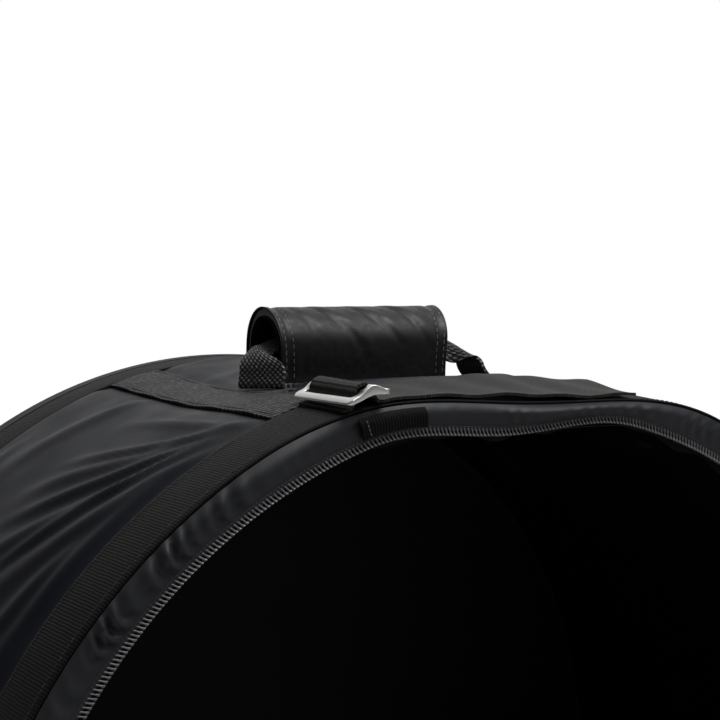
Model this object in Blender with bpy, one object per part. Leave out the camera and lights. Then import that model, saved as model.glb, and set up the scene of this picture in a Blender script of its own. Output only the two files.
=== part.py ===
"""A padded soft bag for a bass drum, standing on its curved wall with its round lid open on the floor.

Metres, +Z up. The bag's axis runs along Y, its mouth faces -Y, and +X is to the right of someone who
looks into the mouth. The origin is on the floor, under the middle of the wall. A depth is measured
from the plane of the mouth towards the back, and an angle from the top of the bag towards +X.
"""

import math

import bmesh
import bpy
from mathutils import Matrix, Vector
from mathutils.geometry import interpolate_bezier

MM = 0.001

# The bag's overall form
bag_depth = 420 * MM
mouth_radius = 322.5 * MM
rear_flare = 11.5 * MM
floor_press = 10.5 * MM
crown_sag = 9 * MM
crown_sag_half_angle = math.radians(26)
crown_dip = 8 * MM
crown_dip_half_angle = math.radians(40)
facet_count = 60
fine_step = math.radians(2.5)
sharp_edge_angle = math.radians(35)
mitre_floor_share = 0.5
corner_steps = 3

# Layers of the padded walls, from the outside in
shell_thickness = 1.5 * MM
padding_thickness = 9 * MM
lining_thickness = 1 * MM
seam_gap = 0.35 * MM

# Webbing that runs round and along the wall
webbing_width = 50 * MM
webbing_thickness = 1.8 * MM
band_overlap = 1.5 * MM
rear_strap_setback = 20 * MM
strap_end_gap = 0.6 * MM
side_strap_width = 37 * MM
side_strap_front_angle = math.radians(19.4)
side_strap_rear_angle = math.radians(16.4)

# Binding at the back rim and on the seams inside
binding_face_width = 17 * MM
back_inset = 2 * MM
seam_tape_width = 12 * MM
seam_tape_thickness = 1 * MM

# Front face of the bag: fabric strip, zipper and facing
strip_width = 16.5 * MM
strip_outer_clearance = 0.6 * MM
strip_thickness = 1.5 * MM
tape_clearance = 0.3 * MM
tape_thickness = 1 * MM
tape_width = 13 * MM
tape_setback = 0.1 * MM
coil_reach = 5.1 * MM
coil_width = 2.8 * MM
coil_depth = 2.6 * MM
coil_chamfer_share = 0.25
facing_setback = 4.3 * MM
facing_outer_clearance = 1.4 * MM
zipper_end_angle = math.radians(165.5)
coil_end_angle = math.radians(163.5)
stop_length_angle = math.radians(0.7)
stop_overhang = 0.5 * MM

# Webbing tab sewn on the strip beside the zipper
tab_start_angle = math.radians(-18.7)
tab_end_angle = math.radians(-11.3)
tab_setback = 0.6 * MM
tab_width = 13.4 * MM

# Lid, drawn shut and then laid open on the floor
coil_parting = 3.2 * MM
lid_tape_overhang = 0.3 * MM
lid_tape_width = 14 * MM
lid_rim_overlap = 6 * MM
lid_lining_inset = 1 * MM
lid_zipper_end_angle = math.radians(152.5)
lid_dome_shares = ((0.87, 1.0), (0.94, 0.87), (0.98, 0.60), (1.0, 0.26))
hinge_height = 17 * MM
hinge_half_length = 65 * MM
hinge_fold_radius = 1.5 * MM
hinge_facets = 10
hinge_columns = 12
lid_open_angle = math.radians(90)

# Zipper sliders and their pulls
slider_park_angle = math.radians(160)
slider_length = 16 * MM
slider_half_width = 6 * MM
slider_plate_thickness = 1.4 * MM
slider_flange_thickness = 0.8 * MM
slider_flange_depth = 2.9 * MM
slider_clearance = 0.4 * MM
slider_post_length = 7 * MM
slider_outline_shares = ((1.0, 0.0), (0.86, 0.5), (0.45, 1.0), (-0.6, 1.0), (-0.94, 0.72), (-1.0, 0.0))
slider_flange_shares = (-0.55, 0.4)
bridge_length = 10 * MM
bridge_width = 2.4 * MM
bridge_wall = 1.1 * MM
pull_bar_thickness = 1.5 * MM
pull_length = 22 * MM
pull_width = 6.4 * MM
pull_eye_length = 6.4 * MM
pull_eye_width = 3.6 * MM
pull_corner = 1.5 * MM
pull_eye_corner = 0.5 * MM

# Slide buckle on the front strap
buckle_angle = math.radians(-17.1)
buckle_depth_position = 24 * MM
buckle_length = 66 * MM
buckle_width = 26 * MM
buckle_thickness = 2.8 * MM
buckle_corner = 3.5 * MM
buckle_long_bar = 4.5 * MM
buckle_side_bar = 5.5 * MM
buckle_centre_bar = 3.4 * MM
buckle_slot_corner = 1.2 * MM
buckle_arch = 1.2 * MM
buckle_ride_height = 3.6 * MM
buckle_edge_bevel = 0.5 * MM
buckle_bevel_angle = math.radians(50)
buckle_run_pitch = 3.5 * MM

# Webbing that passes under the buckle's long bars and over its centre bar
tail_lead = 14 * MM
tail_rest_position = 11.3 * MM
tail_climb_start = 7.8 * MM
tail_climb_end = 3.2 * MM
tail_top_half_length = 1.9 * MM
tail_climb_height = 7 * MM
tail_top_height = 7.9 * MM
tail_end_angle = math.radians(15)

# Carrying handle: one webbing loop inside a padded wrap
handle_depth_position = 192 * MM
wrap_half_length = 65 * MM
wrap_outer_radius = 24 * MM
wrap_stand = 25.61 * MM
wrap_rear_leg = 7 * MM
wrap_flap_length = 17.5 * MM
wrap_cover_thickness = 1.2 * MM
wrap_padding_thickness = 4 * MM
wrap_lining_thickness = 0.8 * MM
wrap_arc_steps = 12
fastener_width = 8 * MM
fastener_half_length = 56 * MM
fastener_thickness = 1.2 * MM
fastener_edge = 1.5 * MM

# Webbing loop of the handle, from its foot beside the side strap to the middle of the wrap
loop_width = 38 * MM
loop_folded_width = 20 * MM
loop_thickness = 2.2 * MM
loop_foot_depth = 162 * MM
loop_foot_inner = 31 * MM
loop_foot_outer = 24.5 * MM
loop_bulge = 3.4 * MM
loop_bulge_rise = 8 * MM
loop_bulge_share = 0.15
loop_mouth_drop = 9.6 * MM
loop_mouth_slope = math.radians(16)
loop_top_clearance = 4.2 * MM
loop_steps = 8
loop_foot_pull = 3 * MM
loop_bulge_pull_in = 4 * MM
loop_bulge_pull_out = 11 * MM
loop_mouth_pull_in = 16 * MM
loop_mouth_pull_out = 22 * MM
loop_top_pull = 34 * MM

# Sewn webbing patch under each foot of the loop, beside the side strap
patch_length = 80 * MM
patch_near = 19.5 * MM
patch_far = 46 * MM

# Radii round the bag's axis, from the mouth's edge inwards
rear_radius = mouth_radius + rear_flare
axis_height = mouth_radius - floor_press
strip_inner_radius = mouth_radius - strip_width
coil_inner_radius = strip_inner_radius - coil_reach
tape_inner_radius = coil_inner_radius + tape_setback
tape_outer_radius = tape_inner_radius + tape_width
facing_inner_radius = strip_inner_radius + facing_setback
tab_inner_radius = strip_inner_radius + tab_setback
tab_outer_radius = tab_inner_radius + tab_width
lid_coil_outer_radius = coil_inner_radius - coil_parting
lid_tape_outer_radius = lid_coil_outer_radius + lid_tape_overhang
lid_tape_inner_radius = lid_tape_outer_radius - lid_tape_width
lid_radius = lid_tape_inner_radius + lid_rim_overlap
lid_lining_radius = lid_radius - lid_lining_inset


def material(name, colour, roughness, metallic=0.0):
    """A Principled material of one colour."""
    made = bpy.data.materials.new(name)
    made.use_nodes = True
    shader = made.node_tree.nodes["Principled BSDF"]
    shader.inputs["Base Color"].default_value = (*colour, 1.0)
    shader.inputs["Roughness"].default_value = roughness
    shader.inputs["Metallic"].default_value = metallic
    made.diffuse_color = (*colour, 1.0)
    return made


def add_part(name, mesh_source, finish, pivot=None, parent=None):
    """Turns a bmesh, drawn in the bag's frame, into an object whose origin is at its pivot."""
    pivot = Vector((0, 0, 0)) if pivot is None else Vector(pivot)
    bmesh.ops.translate(mesh_source, vec=-pivot, verts=mesh_source.verts)
    bmesh.ops.recalc_face_normals(mesh_source, faces=mesh_source.faces)
    mesh = bpy.data.meshes.new(name)
    mesh_source.to_mesh(mesh)
    mesh_source.free()
    mesh.shade_smooth()
    mesh.set_sharp_from_angle(angle=sharp_edge_angle)
    mesh.materials.append(finish)
    part = bpy.data.objects.new(name, mesh)
    bpy.context.scene.collection.objects.link(part)
    part.location = pivot
    if parent is not None:
        part.parent = parent
        part.location = pivot - parent.location
    return part


def add_pivot(name, location):
    """An empty on a joint's axis."""
    pivot = bpy.data.objects.new(name, None)
    bpy.context.scene.collection.objects.link(pivot)
    pivot.location = Vector(location)
    return pivot


def wall_radius(depth):
    """Outer radius of the fabric wall, which widens from the mouth towards the back."""
    share = min(max(depth / bag_depth, 0.0), 1.0)
    return rear_radius - (rear_radius - mouth_radius) * (1 - share) ** 2


def sag_at(depth, angle):
    """How far the unfilled top of the bag has sunk below its circle."""
    turn = abs(math.remainder(angle, math.tau))
    share = min(max(depth / bag_depth, 0.0), 1.0)
    slack = crown_sag * (1 - share**2) * round_top(turn, crown_sag_half_angle)
    middle = bag_depth / 2
    reach = middle - band_end if depth < middle else rear_strap_start - middle
    return slack + crown_dip * max(1 - abs(depth - middle) / reach, 0.0) * round_top(turn, crown_dip_half_angle)


def round_top(turn, half_angle):
    """A smooth share that is 1 at the bag's top and 0 from the half angle on."""
    return math.cos(math.pi / 2 * min(turn / half_angle, 1.0)) ** 2


def round_point(depth, radius, flat_height, angle):
    """A point of a round layer, sunk a little at the top and pressed flat by the floor at the bottom."""
    reach = radius - sag_at(depth, angle)
    x = reach * math.sin(angle)
    z = axis_height + reach * math.cos(angle)
    if z < flat_height:
        x = (flat_height - axis_height) * math.tan(angle)
        z = flat_height
    return Vector((x, depth - bag_depth / 2, z))


def facet_dip(radius):
    """How far the middle of a facet lies inside its circle."""
    return radius * (1 - math.cos(math.pi / facet_count))


webbing_lift = webbing_thickness + seam_gap


def wall_station(depth, offset, lift=0.0):
    """A place on a wall layer's profile: its offset is outwards from the shell's face."""
    return (depth, wall_radius(depth) + offset, lift - offset)


def face_station(depth, radius, flat_height=0.0):
    """A place on the profile of a layer that lies in the mouth's plane."""
    return (depth, radius, flat_height)


def full_turn():
    """Angles of the facets' corners, with a facet and not a corner at the very top and bottom."""
    return [(index + 0.5) * math.tau / facet_count for index in range(facet_count)]


def arc(start, end, step=math.tau / facet_count):
    """Evenly spaced angles from start to end."""
    count = max(1, round((end - start) / step))
    return [start + (end - start) * index / count for index in range(count + 1)]


def split_towards_back(target, corners, backwards):
    """Two triangles on four corners, split alike on every layer so that twisted layers stay apart."""
    first = 0 if backwards else 1
    ring = corners[first:] + corners[:first]
    target.faces.new((ring[0], ring[1], ring[2]))
    target.faces.new((ring[0], ring[2], ring[3]))


def ring_mesh(stations, angles=None, target=None):
    """A closed profile carried round the bag's axis: a full ring, or an arc with flat ends."""
    closed = angles is None
    angles = full_turn() if closed else angles
    made = target if target is not None else bmesh.new()
    rows = [[made.verts.new(round_point(*station, angle)) for station in stations] for angle in angles]
    spans = len(rows) if closed else len(rows) - 1
    for row in range(spans):
        here, after = rows[row], rows[(row + 1) % len(rows)]
        for column in range(len(stations)):
            across = (column + 1) % len(stations)
            corners = (here[column], here[across], after[across], after[column])
            split_towards_back(made, corners, stations[across][0] > stations[column][0])
    if not closed:
        made.faces.new(rows[0])
        made.faces.new(rows[-1])
    return made


def disc_mesh(stations):
    """A closed disc about the bag's axis, from a profile that starts and ends on that axis."""
    made = bmesh.new()
    first = made.verts.new((0, stations[0][0] - bag_depth / 2, axis_height))
    last = made.verts.new((0, stations[-1][0] - bag_depth / 2, axis_height))
    rings = []
    for station in stations[1:-1]:
        rings.append([made.verts.new(round_point(*station, angle)) for angle in full_turn()])
    for corner in range(facet_count):
        across = (corner + 1) % facet_count
        made.faces.new((first, rings[0][corner], rings[0][across]))
        made.faces.new((last, rings[-1][across], rings[-1][corner]))
        for inner, outer in zip(rings, rings[1:]):
            made.faces.new((inner[corner], outer[corner], outer[across], inner[across]))
    return made


def slab_mesh(lower, upper, target=None):
    """A closed sheet between two grids of points that have the same rows and columns."""
    made = target if target is not None else bmesh.new()
    low = [[made.verts.new(point) for point in row] for row in lower]
    high = [[made.verts.new(point) for point in row] for row in upper]
    rows, columns = len(low), len(low[0])
    for row in range(rows - 1):
        for column in range(columns - 1):
            for grid in (low, high):
                near, far = grid[row], grid[row + 1]
                made.faces.new((near[column], near[column + 1], far[column + 1], far[column]))
        for column in (0, columns - 1):
            edge = (low[row][column], low[row + 1][column], high[row + 1][column], high[row][column])
            made.faces.new(edge)
    for row in (0, rows - 1):
        for column in range(columns - 1):
            edge = (low[row][column], low[row][column + 1], high[row][column + 1], high[row][column])
            made.faces.new(edge)
    return made


def wall_point(depth, angle, offset):
    """A point over the wall, its offset outwards from the shell's face."""
    return round_point(depth, wall_radius(depth) + offset, 0.0, angle)


def wall_slab(places, offset, thickness, target=None):
    """Webbing laid on the wall over a grid of (depth, angle) places."""
    lower = [[wall_point(depth, angle, offset) for depth, angle in row] for row in places]
    upper = [[wall_point(depth, angle, offset + thickness) for depth, angle in row] for row in places]
    return slab_mesh(lower, upper, target)


def profile_normals(points):
    """Normals at the corners of an open profile, on the left of its direction, as long as their mitres."""
    normals = []
    for index, point in enumerate(points):
        before = points[max(index - 1, 0)]
        after = points[min(index + 1, len(points) - 1)]
        into = (point - before).normalized() if index else (after - point).normalized()
        out = (after - point).normalized() if index < len(points) - 1 else into
        middle = (into + out).normalized()
        mitre = 1 / max(middle.dot(into), mitre_floor_share)
        normals.append(Vector((-middle.y, middle.x)) * mitre)
    return normals


def offset_profile(points, distance):
    """The same open profile moved sideways, to the left of its direction."""
    return [point + normal * distance for point, normal in zip(points, profile_normals(points))]


def rounded_outline(length_x, length_y, corner, run_pitch=None, centre=(0.0, 0.0)):
    """Corners of a rounded rectangle, anticlockwise, with extra points along its X runs if asked."""
    half_x, half_y = length_x / 2 - corner, length_y / 2 - corner
    points = []
    for quarter, (side_x, side_y) in enumerate(((1, 1), (-1, 1), (-1, -1), (1, -1))):
        for step in range(corner_steps + 1):
            angle = math.pi / 2 * (quarter + step / corner_steps)
            x = side_x * half_x + corner * math.cos(angle)
            y = side_y * half_y + corner * math.sin(angle)
            points.append(Vector((x + centre[0], y + centre[1])))
        if run_pitch and quarter in (0, 2):
            runs = max(1, round(2 * half_x / run_pitch))
            for run in range(1, runs):
                x = side_x * half_x * (1 - 2 * run / runs)
                points.append(Vector((x + centre[0], side_y * (half_y + corner) + centre[1])))
    return points


def plate_mesh(outline, holes, thickness, rise=None):
    """A plate with holes, drawn in X and Y, thickened along Z and lifted by a rise that varies with X."""
    made = bmesh.new()
    for loop in [outline, *holes]:
        corners = [made.verts.new((point.x, point.y, 0)) for point in loop]
        for corner, across in zip(corners, corners[1:] + corners[:1]):
            made.edges.new((corner, across))
    bmesh.ops.triangle_fill(made, use_beauty=True, use_dissolve=False, edges=made.edges[:])
    raised = bmesh.ops.extrude_face_region(made, geom=made.faces[:])
    top = [item for item in raised["geom"] if isinstance(item, bmesh.types.BMVert)]
    bmesh.ops.translate(made, vec=(0, 0, thickness), verts=top)
    if rise is not None:
        for corner in made.verts:
            corner.co.z += rise(corner.co.x)
    return made


def box_into(target, low, high):
    """A plain block between two corners, added to a bmesh."""
    made = bmesh.ops.create_cube(target, size=1.0)["verts"]
    low, high = Vector(low), Vector(high)
    for corner in made:
        corner.co = Vector((high[axis] if corner.co[axis] > 0 else low[axis] for axis in range(3)))


def join_by_boolean(part, helpers):
    """Joins blocks to a part and leaves the blocks as hidden guides."""
    for helper in helpers:
        helper.hide_render = True
        helper.display_type = "WIRE"
        union = part.modifiers.new(f"join_{helper.name}", "BOOLEAN")
        union.operation = "UNION"
        union.object = helper


# Gusset: the padded round wall

padding_offset = -(shell_thickness + seam_gap)
lining_offset = padding_offset - padding_thickness - seam_gap
wall_inside = lining_offset - lining_thickness
band_end = webbing_width - band_overlap
rear_strap_start = bag_depth - rear_strap_setback - webbing_width
rear_strap_end = bag_depth - rear_strap_setback
gusset_end = bag_depth - back_inset
tape_back = tape_clearance + tape_thickness
facing_front = tape_back + seam_gap
facing_back = facing_front + lining_thickness
groove_run = 2 * webbing_thickness
handle_crown = round_point(handle_depth_position, wall_radius(handle_depth_position), 0.0, 0.0)
wrap_centre_height = handle_crown.z + wrap_stand


def shell_stations():
    """The shell's profile: its face is pressed up by the straps' thickness where they run under it."""
    outside = [
        (tape_clearance, webbing_lift),
        (buckle_depth_position, webbing_lift),
        (band_end, webbing_lift),
        (band_end + groove_run, 0.0),
        (bag_depth / 2, 0.0),
        (rear_strap_start - groove_run, 0.0),
        (rear_strap_start, webbing_lift),
        (gusset_end, webbing_lift),
    ]
    outer = [wall_station(depth, 0.0, lift) for depth, lift in outside]
    inside = [tape_clearance, *layer_depths()[1:]]
    inner = [wall_station(depth, -shell_thickness, webbing_lift) for depth in reversed(inside)]
    return outer + inner


def layer_depths():
    """Depths of the corners in the wall's inner layers, which bend where the seam tapes end."""
    start = facing_back + seam_gap
    seam_end = back_panel_front() - seam_gap
    return [start, start + seam_tape_width, bag_depth / 2, seam_end - seam_tape_width, seam_end, gusset_end]


def layer_stations(offset, thickness):
    """A plain inner layer of the wall."""
    depths = layer_depths()
    outer = [wall_station(depth, offset, webbing_lift) for depth in depths]
    inner = [wall_station(depth, offset - thickness, webbing_lift) for depth in reversed(depths)]
    return outer + inner


def build_gusset(finishes):
    add_part("gusset_shell", ring_mesh(shell_stations()), finishes["nylon"])
    padding = layer_stations(padding_offset, padding_thickness)
    add_part("gusset_padding", ring_mesh(padding), finishes["foam"])
    lining = layer_stations(lining_offset, lining_thickness)
    add_part("gusset_lining", ring_mesh(lining), finishes["lining"])
    depths = layer_depths()
    for name, start, end in (("front_seam_tape", *depths[:2]), ("rear_seam_tape", *depths[3:5])):
        outer, inner = wall_inside - seam_gap, wall_inside - seam_gap - seam_tape_thickness
        stations = [
            wall_station(start, outer, webbing_lift),
            wall_station(end, outer, webbing_lift),
            wall_station(end, inner, webbing_lift),
            wall_station(start, inner, webbing_lift),
        ]
        add_part(name, ring_mesh(stations), finishes["binding"])


# Back panel and the binding over its rim


def back_panel_front():
    return gusset_end - shell_thickness - padding_thickness - lining_thickness - 2 * seam_gap


def build_back_panel(finishes):
    rim = wall_inside - seam_gap
    layers = (
        ("back_shell", "nylon", gusset_end, shell_thickness),
        ("back_padding", "foam", gusset_end - shell_thickness - seam_gap, padding_thickness),
        ("back_lining", "lining", back_panel_front() + lining_thickness, lining_thickness),
    )
    for name, finish, outside, thickness in layers:
        edge_depth = gusset_end
        radius, flat_height = wall_station(edge_depth, rim, webbing_lift)[1:]
        stations = [
            (outside - thickness, 0.0, 0.0),
            (outside - thickness, radius, flat_height),
            (outside, radius, flat_height),
            (outside, 0.0, 0.0),
        ]
        add_part(name, disc_mesh(stations), finishes[finish])
    face, back = gusset_end + seam_gap, gusset_end + seam_gap + webbing_thickness
    inner_edge = -binding_face_width
    stations = [
        wall_station(rear_strap_end + strap_end_gap, seam_gap, webbing_lift),
        wall_station(rear_strap_end + strap_end_gap, webbing_lift, webbing_lift),
        wall_station(back, webbing_lift, webbing_lift),
        wall_station(back, inner_edge, webbing_lift),
        wall_station(face, inner_edge, webbing_lift),
        wall_station(face, seam_gap, webbing_lift),
    ]
    add_part("rear_binding", ring_mesh(stations), finishes["binding"])


# Straps round and along the wall


def band_stations(depths):
    outer = [wall_station(depth, webbing_lift, webbing_lift) for depth in depths]
    inner = [wall_station(depth, seam_gap, webbing_lift) for depth in reversed(depths)]
    return outer + inner


def side_strap_angle(depth):
    """Angle of a side strap's middle: the two straps draw together towards the back."""
    start, end = band_end, rear_strap_start
    share = (depth - start) / (end - start)
    return side_strap_front_angle + (side_strap_rear_angle - side_strap_front_angle) * share


def side_strap_place(side, depth, across):
    """The (depth, angle) of a point on a side strap, across it from its middle towards the bag's top."""
    return depth, side * (side_strap_angle(depth) - across / wall_radius(depth))


def build_straps(finishes):
    front_band = band_stations([-band_overlap, tape_clearance, buckle_depth_position, band_end])
    add_part("front_strap", ring_mesh(front_band), finishes["webbing"])
    rear_band = band_stations([rear_strap_start, rear_strap_end])
    add_part("rear_strap", ring_mesh(rear_band), finishes["webbing"])
    start, end = band_end + strap_end_gap, rear_strap_start - strap_end_gap
    depths = [start, (start + bag_depth / 2) / 2, bag_depth / 2, (bag_depth / 2 + end) / 2, end]
    across = (-side_strap_width / 2, 0.0, side_strap_width / 2)
    for side, word in ((-1, "left"), (1, "right")):
        places = [[side_strap_place(side, depth, step) for step in across] for depth in depths]
        add_part(f"side_strap_{word}", wall_slab(places, seam_gap, webbing_thickness), finishes["webbing"])


def build_patches(finishes):
    """Webbing sewn on the wall inside each side strap, under the feet of the handle's loop."""
    across = (patch_near, (patch_near + patch_far) / 2, patch_far)
    depths = (loop_foot_depth - patch_length / 2, loop_foot_depth, loop_foot_depth + patch_length / 2)
    for side, word in ((-1, "left"), (1, "right")):
        places = [[side_strap_place(side, depth, step) for step in across] for depth in depths]
        patch = wall_slab(places, seam_gap, webbing_thickness)
        add_part(f"handle_patch_{word}", patch, finishes["webbing"])


def build_strap_tail(finishes):
    """The free webbing: under one long bar, over the centre bar, under the other and along the band."""
    radius = wall_radius(buckle_depth_position)
    run_start = -tail_lead
    run_end = (tail_end_angle - buckle_angle) * radius
    rise = [
        (run_start, 0.0),
        (-tail_rest_position, 0.0),
        (-tail_climb_start, 0.0),
        (-tail_climb_end, tail_climb_height),
        (-tail_top_half_length, tail_top_height),
        (tail_top_half_length, tail_top_height),
        (tail_climb_end, tail_climb_height),
        (tail_climb_start, 0.0),
        (tail_rest_position, 0.0),
    ]
    flat_start = rise[-1][0]
    flat_runs = math.ceil((run_end - flat_start) / (radius * fine_step))
    for run in range(1, flat_runs + 1):
        rise.append((flat_start + (run_end - flat_start) * run / flat_runs, 0.0))
    depths = (-band_overlap, buckle_depth_position, band_end)
    lower, upper = [], []
    for along, height in rise:
        angle = buckle_angle + along / radius
        base = webbing_lift + seam_gap + height
        lower.append([wall_point(depth, angle, base) for depth in depths])
        upper.append([wall_point(depth, angle, base + webbing_thickness) for depth in depths])
    add_part("strap_tail", slab_mesh(lower, upper), finishes["webbing"])


# Front face: strip, facing, zipper and tab


def build_front_face(finishes):
    strip_flat = hinge_height - hinge_fold_radius - seam_gap
    strip_outer = mouth_radius - strip_outer_clearance
    strip = [
        face_station(-strip_thickness, strip_inner_radius, strip_flat),
        face_station(-strip_thickness, strip_outer, webbing_lift + strip_outer_clearance),
        face_station(0.0, strip_outer, webbing_lift + strip_outer_clearance),
        face_station(0.0, strip_inner_radius, strip_flat),
    ]
    add_part("front_strip", ring_mesh(strip), finishes["nylon"])
    facing_outer = mouth_radius - shell_thickness - facing_outer_clearance
    facing_flat = strip_flat - lining_thickness
    facing_outer_flat = webbing_lift + shell_thickness + facing_outer_clearance
    facing = [
        face_station(facing_front, facing_inner_radius, facing_flat),
        face_station(facing_front, facing_outer, facing_outer_flat),
        face_station(facing_back, facing_outer, facing_outer_flat),
        face_station(facing_back, facing_inner_radius, facing_flat),
    ]
    add_part("strip_facing", ring_mesh(facing), finishes["lining"])
    tape = [
        face_station(tape_clearance, tape_inner_radius),
        face_station(tape_clearance, tape_outer_radius),
        face_station(tape_back, tape_outer_radius),
        face_station(tape_back, tape_inner_radius),
    ]
    angles = arc(-zipper_end_angle, zipper_end_angle)
    add_part("zipper_tape", ring_mesh(tape, angles), finishes["tape"])
    coil_angles = arc(-coil_end_angle, coil_end_angle)
    coil = coil_stations(coil_inner_radius, coil_inner_radius + coil_width)
    add_part("zipper_coil", ring_mesh(coil, coil_angles), finishes["coil"])
    for side, word in ((-1, "left"), (1, "right")):
        start = side * (coil_end_angle + stop_length_angle)
        inner = coil_inner_radius - stop_overhang
        stop = coil_stations(inner, inner + coil_width + 2 * stop_overhang)
        stop_angles = [start, start + side * stop_length_angle]
        add_part(f"zipper_stop_{word}", ring_mesh(stop, stop_angles), finishes["nickel"])
    tab_front = -strip_thickness - seam_gap
    tab = [
        face_station(tab_front - webbing_thickness, tab_inner_radius),
        face_station(tab_front - webbing_thickness, tab_outer_radius),
        face_station(tab_front, tab_outer_radius),
        face_station(tab_front, tab_inner_radius),
    ]
    tab_angles = arc(tab_start_angle, tab_end_angle, fine_step)
    add_part("zipper_tab", ring_mesh(tab, tab_angles), finishes["webbing"])


def coil_stations(inner, outer):
    """The rounded outline of a row of closed teeth on the front of its tape."""
    back = tape_clearance - seam_gap
    front = back - coil_depth
    chamfer = (outer - inner) * coil_chamfer_share
    return [
        face_station(back, inner),
        face_station(front + chamfer, inner),
        face_station(front, inner + chamfer),
        face_station(front, outer - chamfer),
        face_station(front + chamfer, outer),
        face_station(back, outer),
    ]


# Lid and its fabric hinge


def lid_profile():
    """The domed face and the rim of the lid's shell, from the axis outwards, as (radius, depth) points."""
    crown = tape_middle() - hinge_height
    points = [Vector((0.0, crown))]
    for out, height in lid_dome_shares:
        points.append(Vector((lid_radius * out, crown * height)))
    points.append(Vector((lid_radius, tape_clearance - seam_gap)))
    return points


def tape_middle():
    return tape_clearance + tape_thickness / 2


def build_lid(finishes):
    """Drawn shut in the mouth, then turned down about the hinge."""
    hinge = Vector((0, tape_middle() - bag_depth / 2, hinge_height))
    pivot = add_pivot("lid_hinge_axis", hinge)
    outside = lid_profile()
    rim = tape_clearance - seam_gap
    inside = offset_profile(outside, shell_thickness)
    inside[0].x = 0.0
    inside[-1].y = rim
    shell = [face_station(point.y, point.x) for point in outside + inside[::-1]]
    add_part("lid_shell", disc_mesh(shell), finishes["nylon"], hinge, pivot)
    core = offset_profile(outside, shell_thickness + seam_gap)
    core[0].x = 0.0
    core[-1].y = rim
    step_radius = lid_tape_inner_radius - facet_dip(lid_tape_inner_radius) - seam_gap
    padding = [face_station(point.y, point.x) for point in core]
    padding += [face_station(rim, step_radius), face_station(tape_back, step_radius)]
    padding.append(face_station(tape_back, 0.0))
    add_part("lid_padding", disc_mesh(padding), finishes["foam"], hinge, pivot)
    lining = [
        face_station(facing_front, 0.0),
        face_station(facing_front, lid_lining_radius),
        face_station(facing_back, lid_lining_radius),
        face_station(facing_back, 0.0),
    ]
    add_part("lid_lining", disc_mesh(lining), finishes["lining"], hinge, pivot)
    tape = [
        face_station(tape_clearance, lid_tape_inner_radius),
        face_station(tape_clearance, lid_tape_outer_radius),
        face_station(tape_back, lid_tape_outer_radius),
        face_station(tape_back, lid_tape_inner_radius),
    ]
    angles = arc(-lid_zipper_end_angle, lid_zipper_end_angle)
    add_part("lid_zipper_tape", ring_mesh(tape, angles), finishes["tape"], hinge, pivot)
    coil = coil_stations(lid_coil_outer_radius - coil_width, lid_coil_outer_radius)
    add_part("lid_zipper_coil", ring_mesh(coil, angles), finishes["coil"], hinge, pivot)
    add_part("lid_hinge_leaf", hinge_leaf_mesh(), finishes["nylon"], hinge, pivot)
    pivot.rotation_euler = (lid_open_angle, 0, 0)
    add_part("hinge_fold", hinge_fold_mesh(hinge), finishes["binding"], hinge)


def hinge_leaf_mesh():
    """The fabric between the fold and the lid's rim: one straight edge and one that follows the rim."""
    lower, upper = [], []
    for column in range(hinge_columns + 1):
        x = hinge_half_length * (2 * column / hinge_columns - 1)
        fold = hinge_height + hinge_fold_radius + seam_gap
        rim = axis_height - math.sqrt(lid_tape_inner_radius**2 - x**2)
        for grid, depth in ((lower, tape_clearance), (upper, tape_back)):
            grid.append([Vector((x, depth - bag_depth / 2, height)) for height in (fold, rim)])
    return slab_mesh(lower, upper)


def hinge_fold_mesh(centre):
    made = bmesh.new()
    bmesh.ops.create_cone(
        made,
        cap_ends=True,
        segments=hinge_facets,
        radius1=hinge_fold_radius,
        radius2=hinge_fold_radius,
        depth=2 * hinge_half_length,
        matrix=Matrix.Translation(centre) @ Matrix.Rotation(math.pi / 2, 4, "Y"),
    )
    return made


# Zipper sliders: two plates joined by a post that runs between the coils, with a bridge for the pull


def slider_outline():
    """A shield outline in X and Z that narrows most towards its nose."""
    upper = []
    for along, out in slider_outline_shares:
        upper.append(Vector((slider_length / 2 * along, slider_half_width * out)))
    lower = [Vector((point.x, -point.y)) for point in reversed(upper[1:-1])]
    return upper + lower


def slider_mesh(middle_radius):
    """Drawn at the top of the zipper, X along it and Z outwards. Depth is kept on Y."""
    made = bmesh.new()
    coil_front = tape_clearance - seam_gap - coil_depth
    plate_back = coil_front - slider_clearance
    plate_front = plate_back - slider_plate_thickness
    rear_front = tape_back + slider_clearance
    rear_back = rear_front + slider_plate_thickness
    shield = slider_outline()
    mouth = -bag_depth / 2
    centre = Vector((0, mouth, axis_height + middle_radius))
    for near, far in ((plate_front, plate_back), (rear_front, rear_back)):
        faces = []
        for depth in (near, far):
            ring = [made.verts.new(centre + Vector((point.x, depth, point.y))) for point in shield]
            faces.append(ring)
            made.faces.new(ring)
        for index in range(len(shield)):
            across = (index + 1) % len(shield)
            made.faces.new((faces[0][index], faces[0][across], faces[1][across], faces[1][index]))
    return made, centre, (plate_front, plate_back, rear_front, rear_back)


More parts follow.
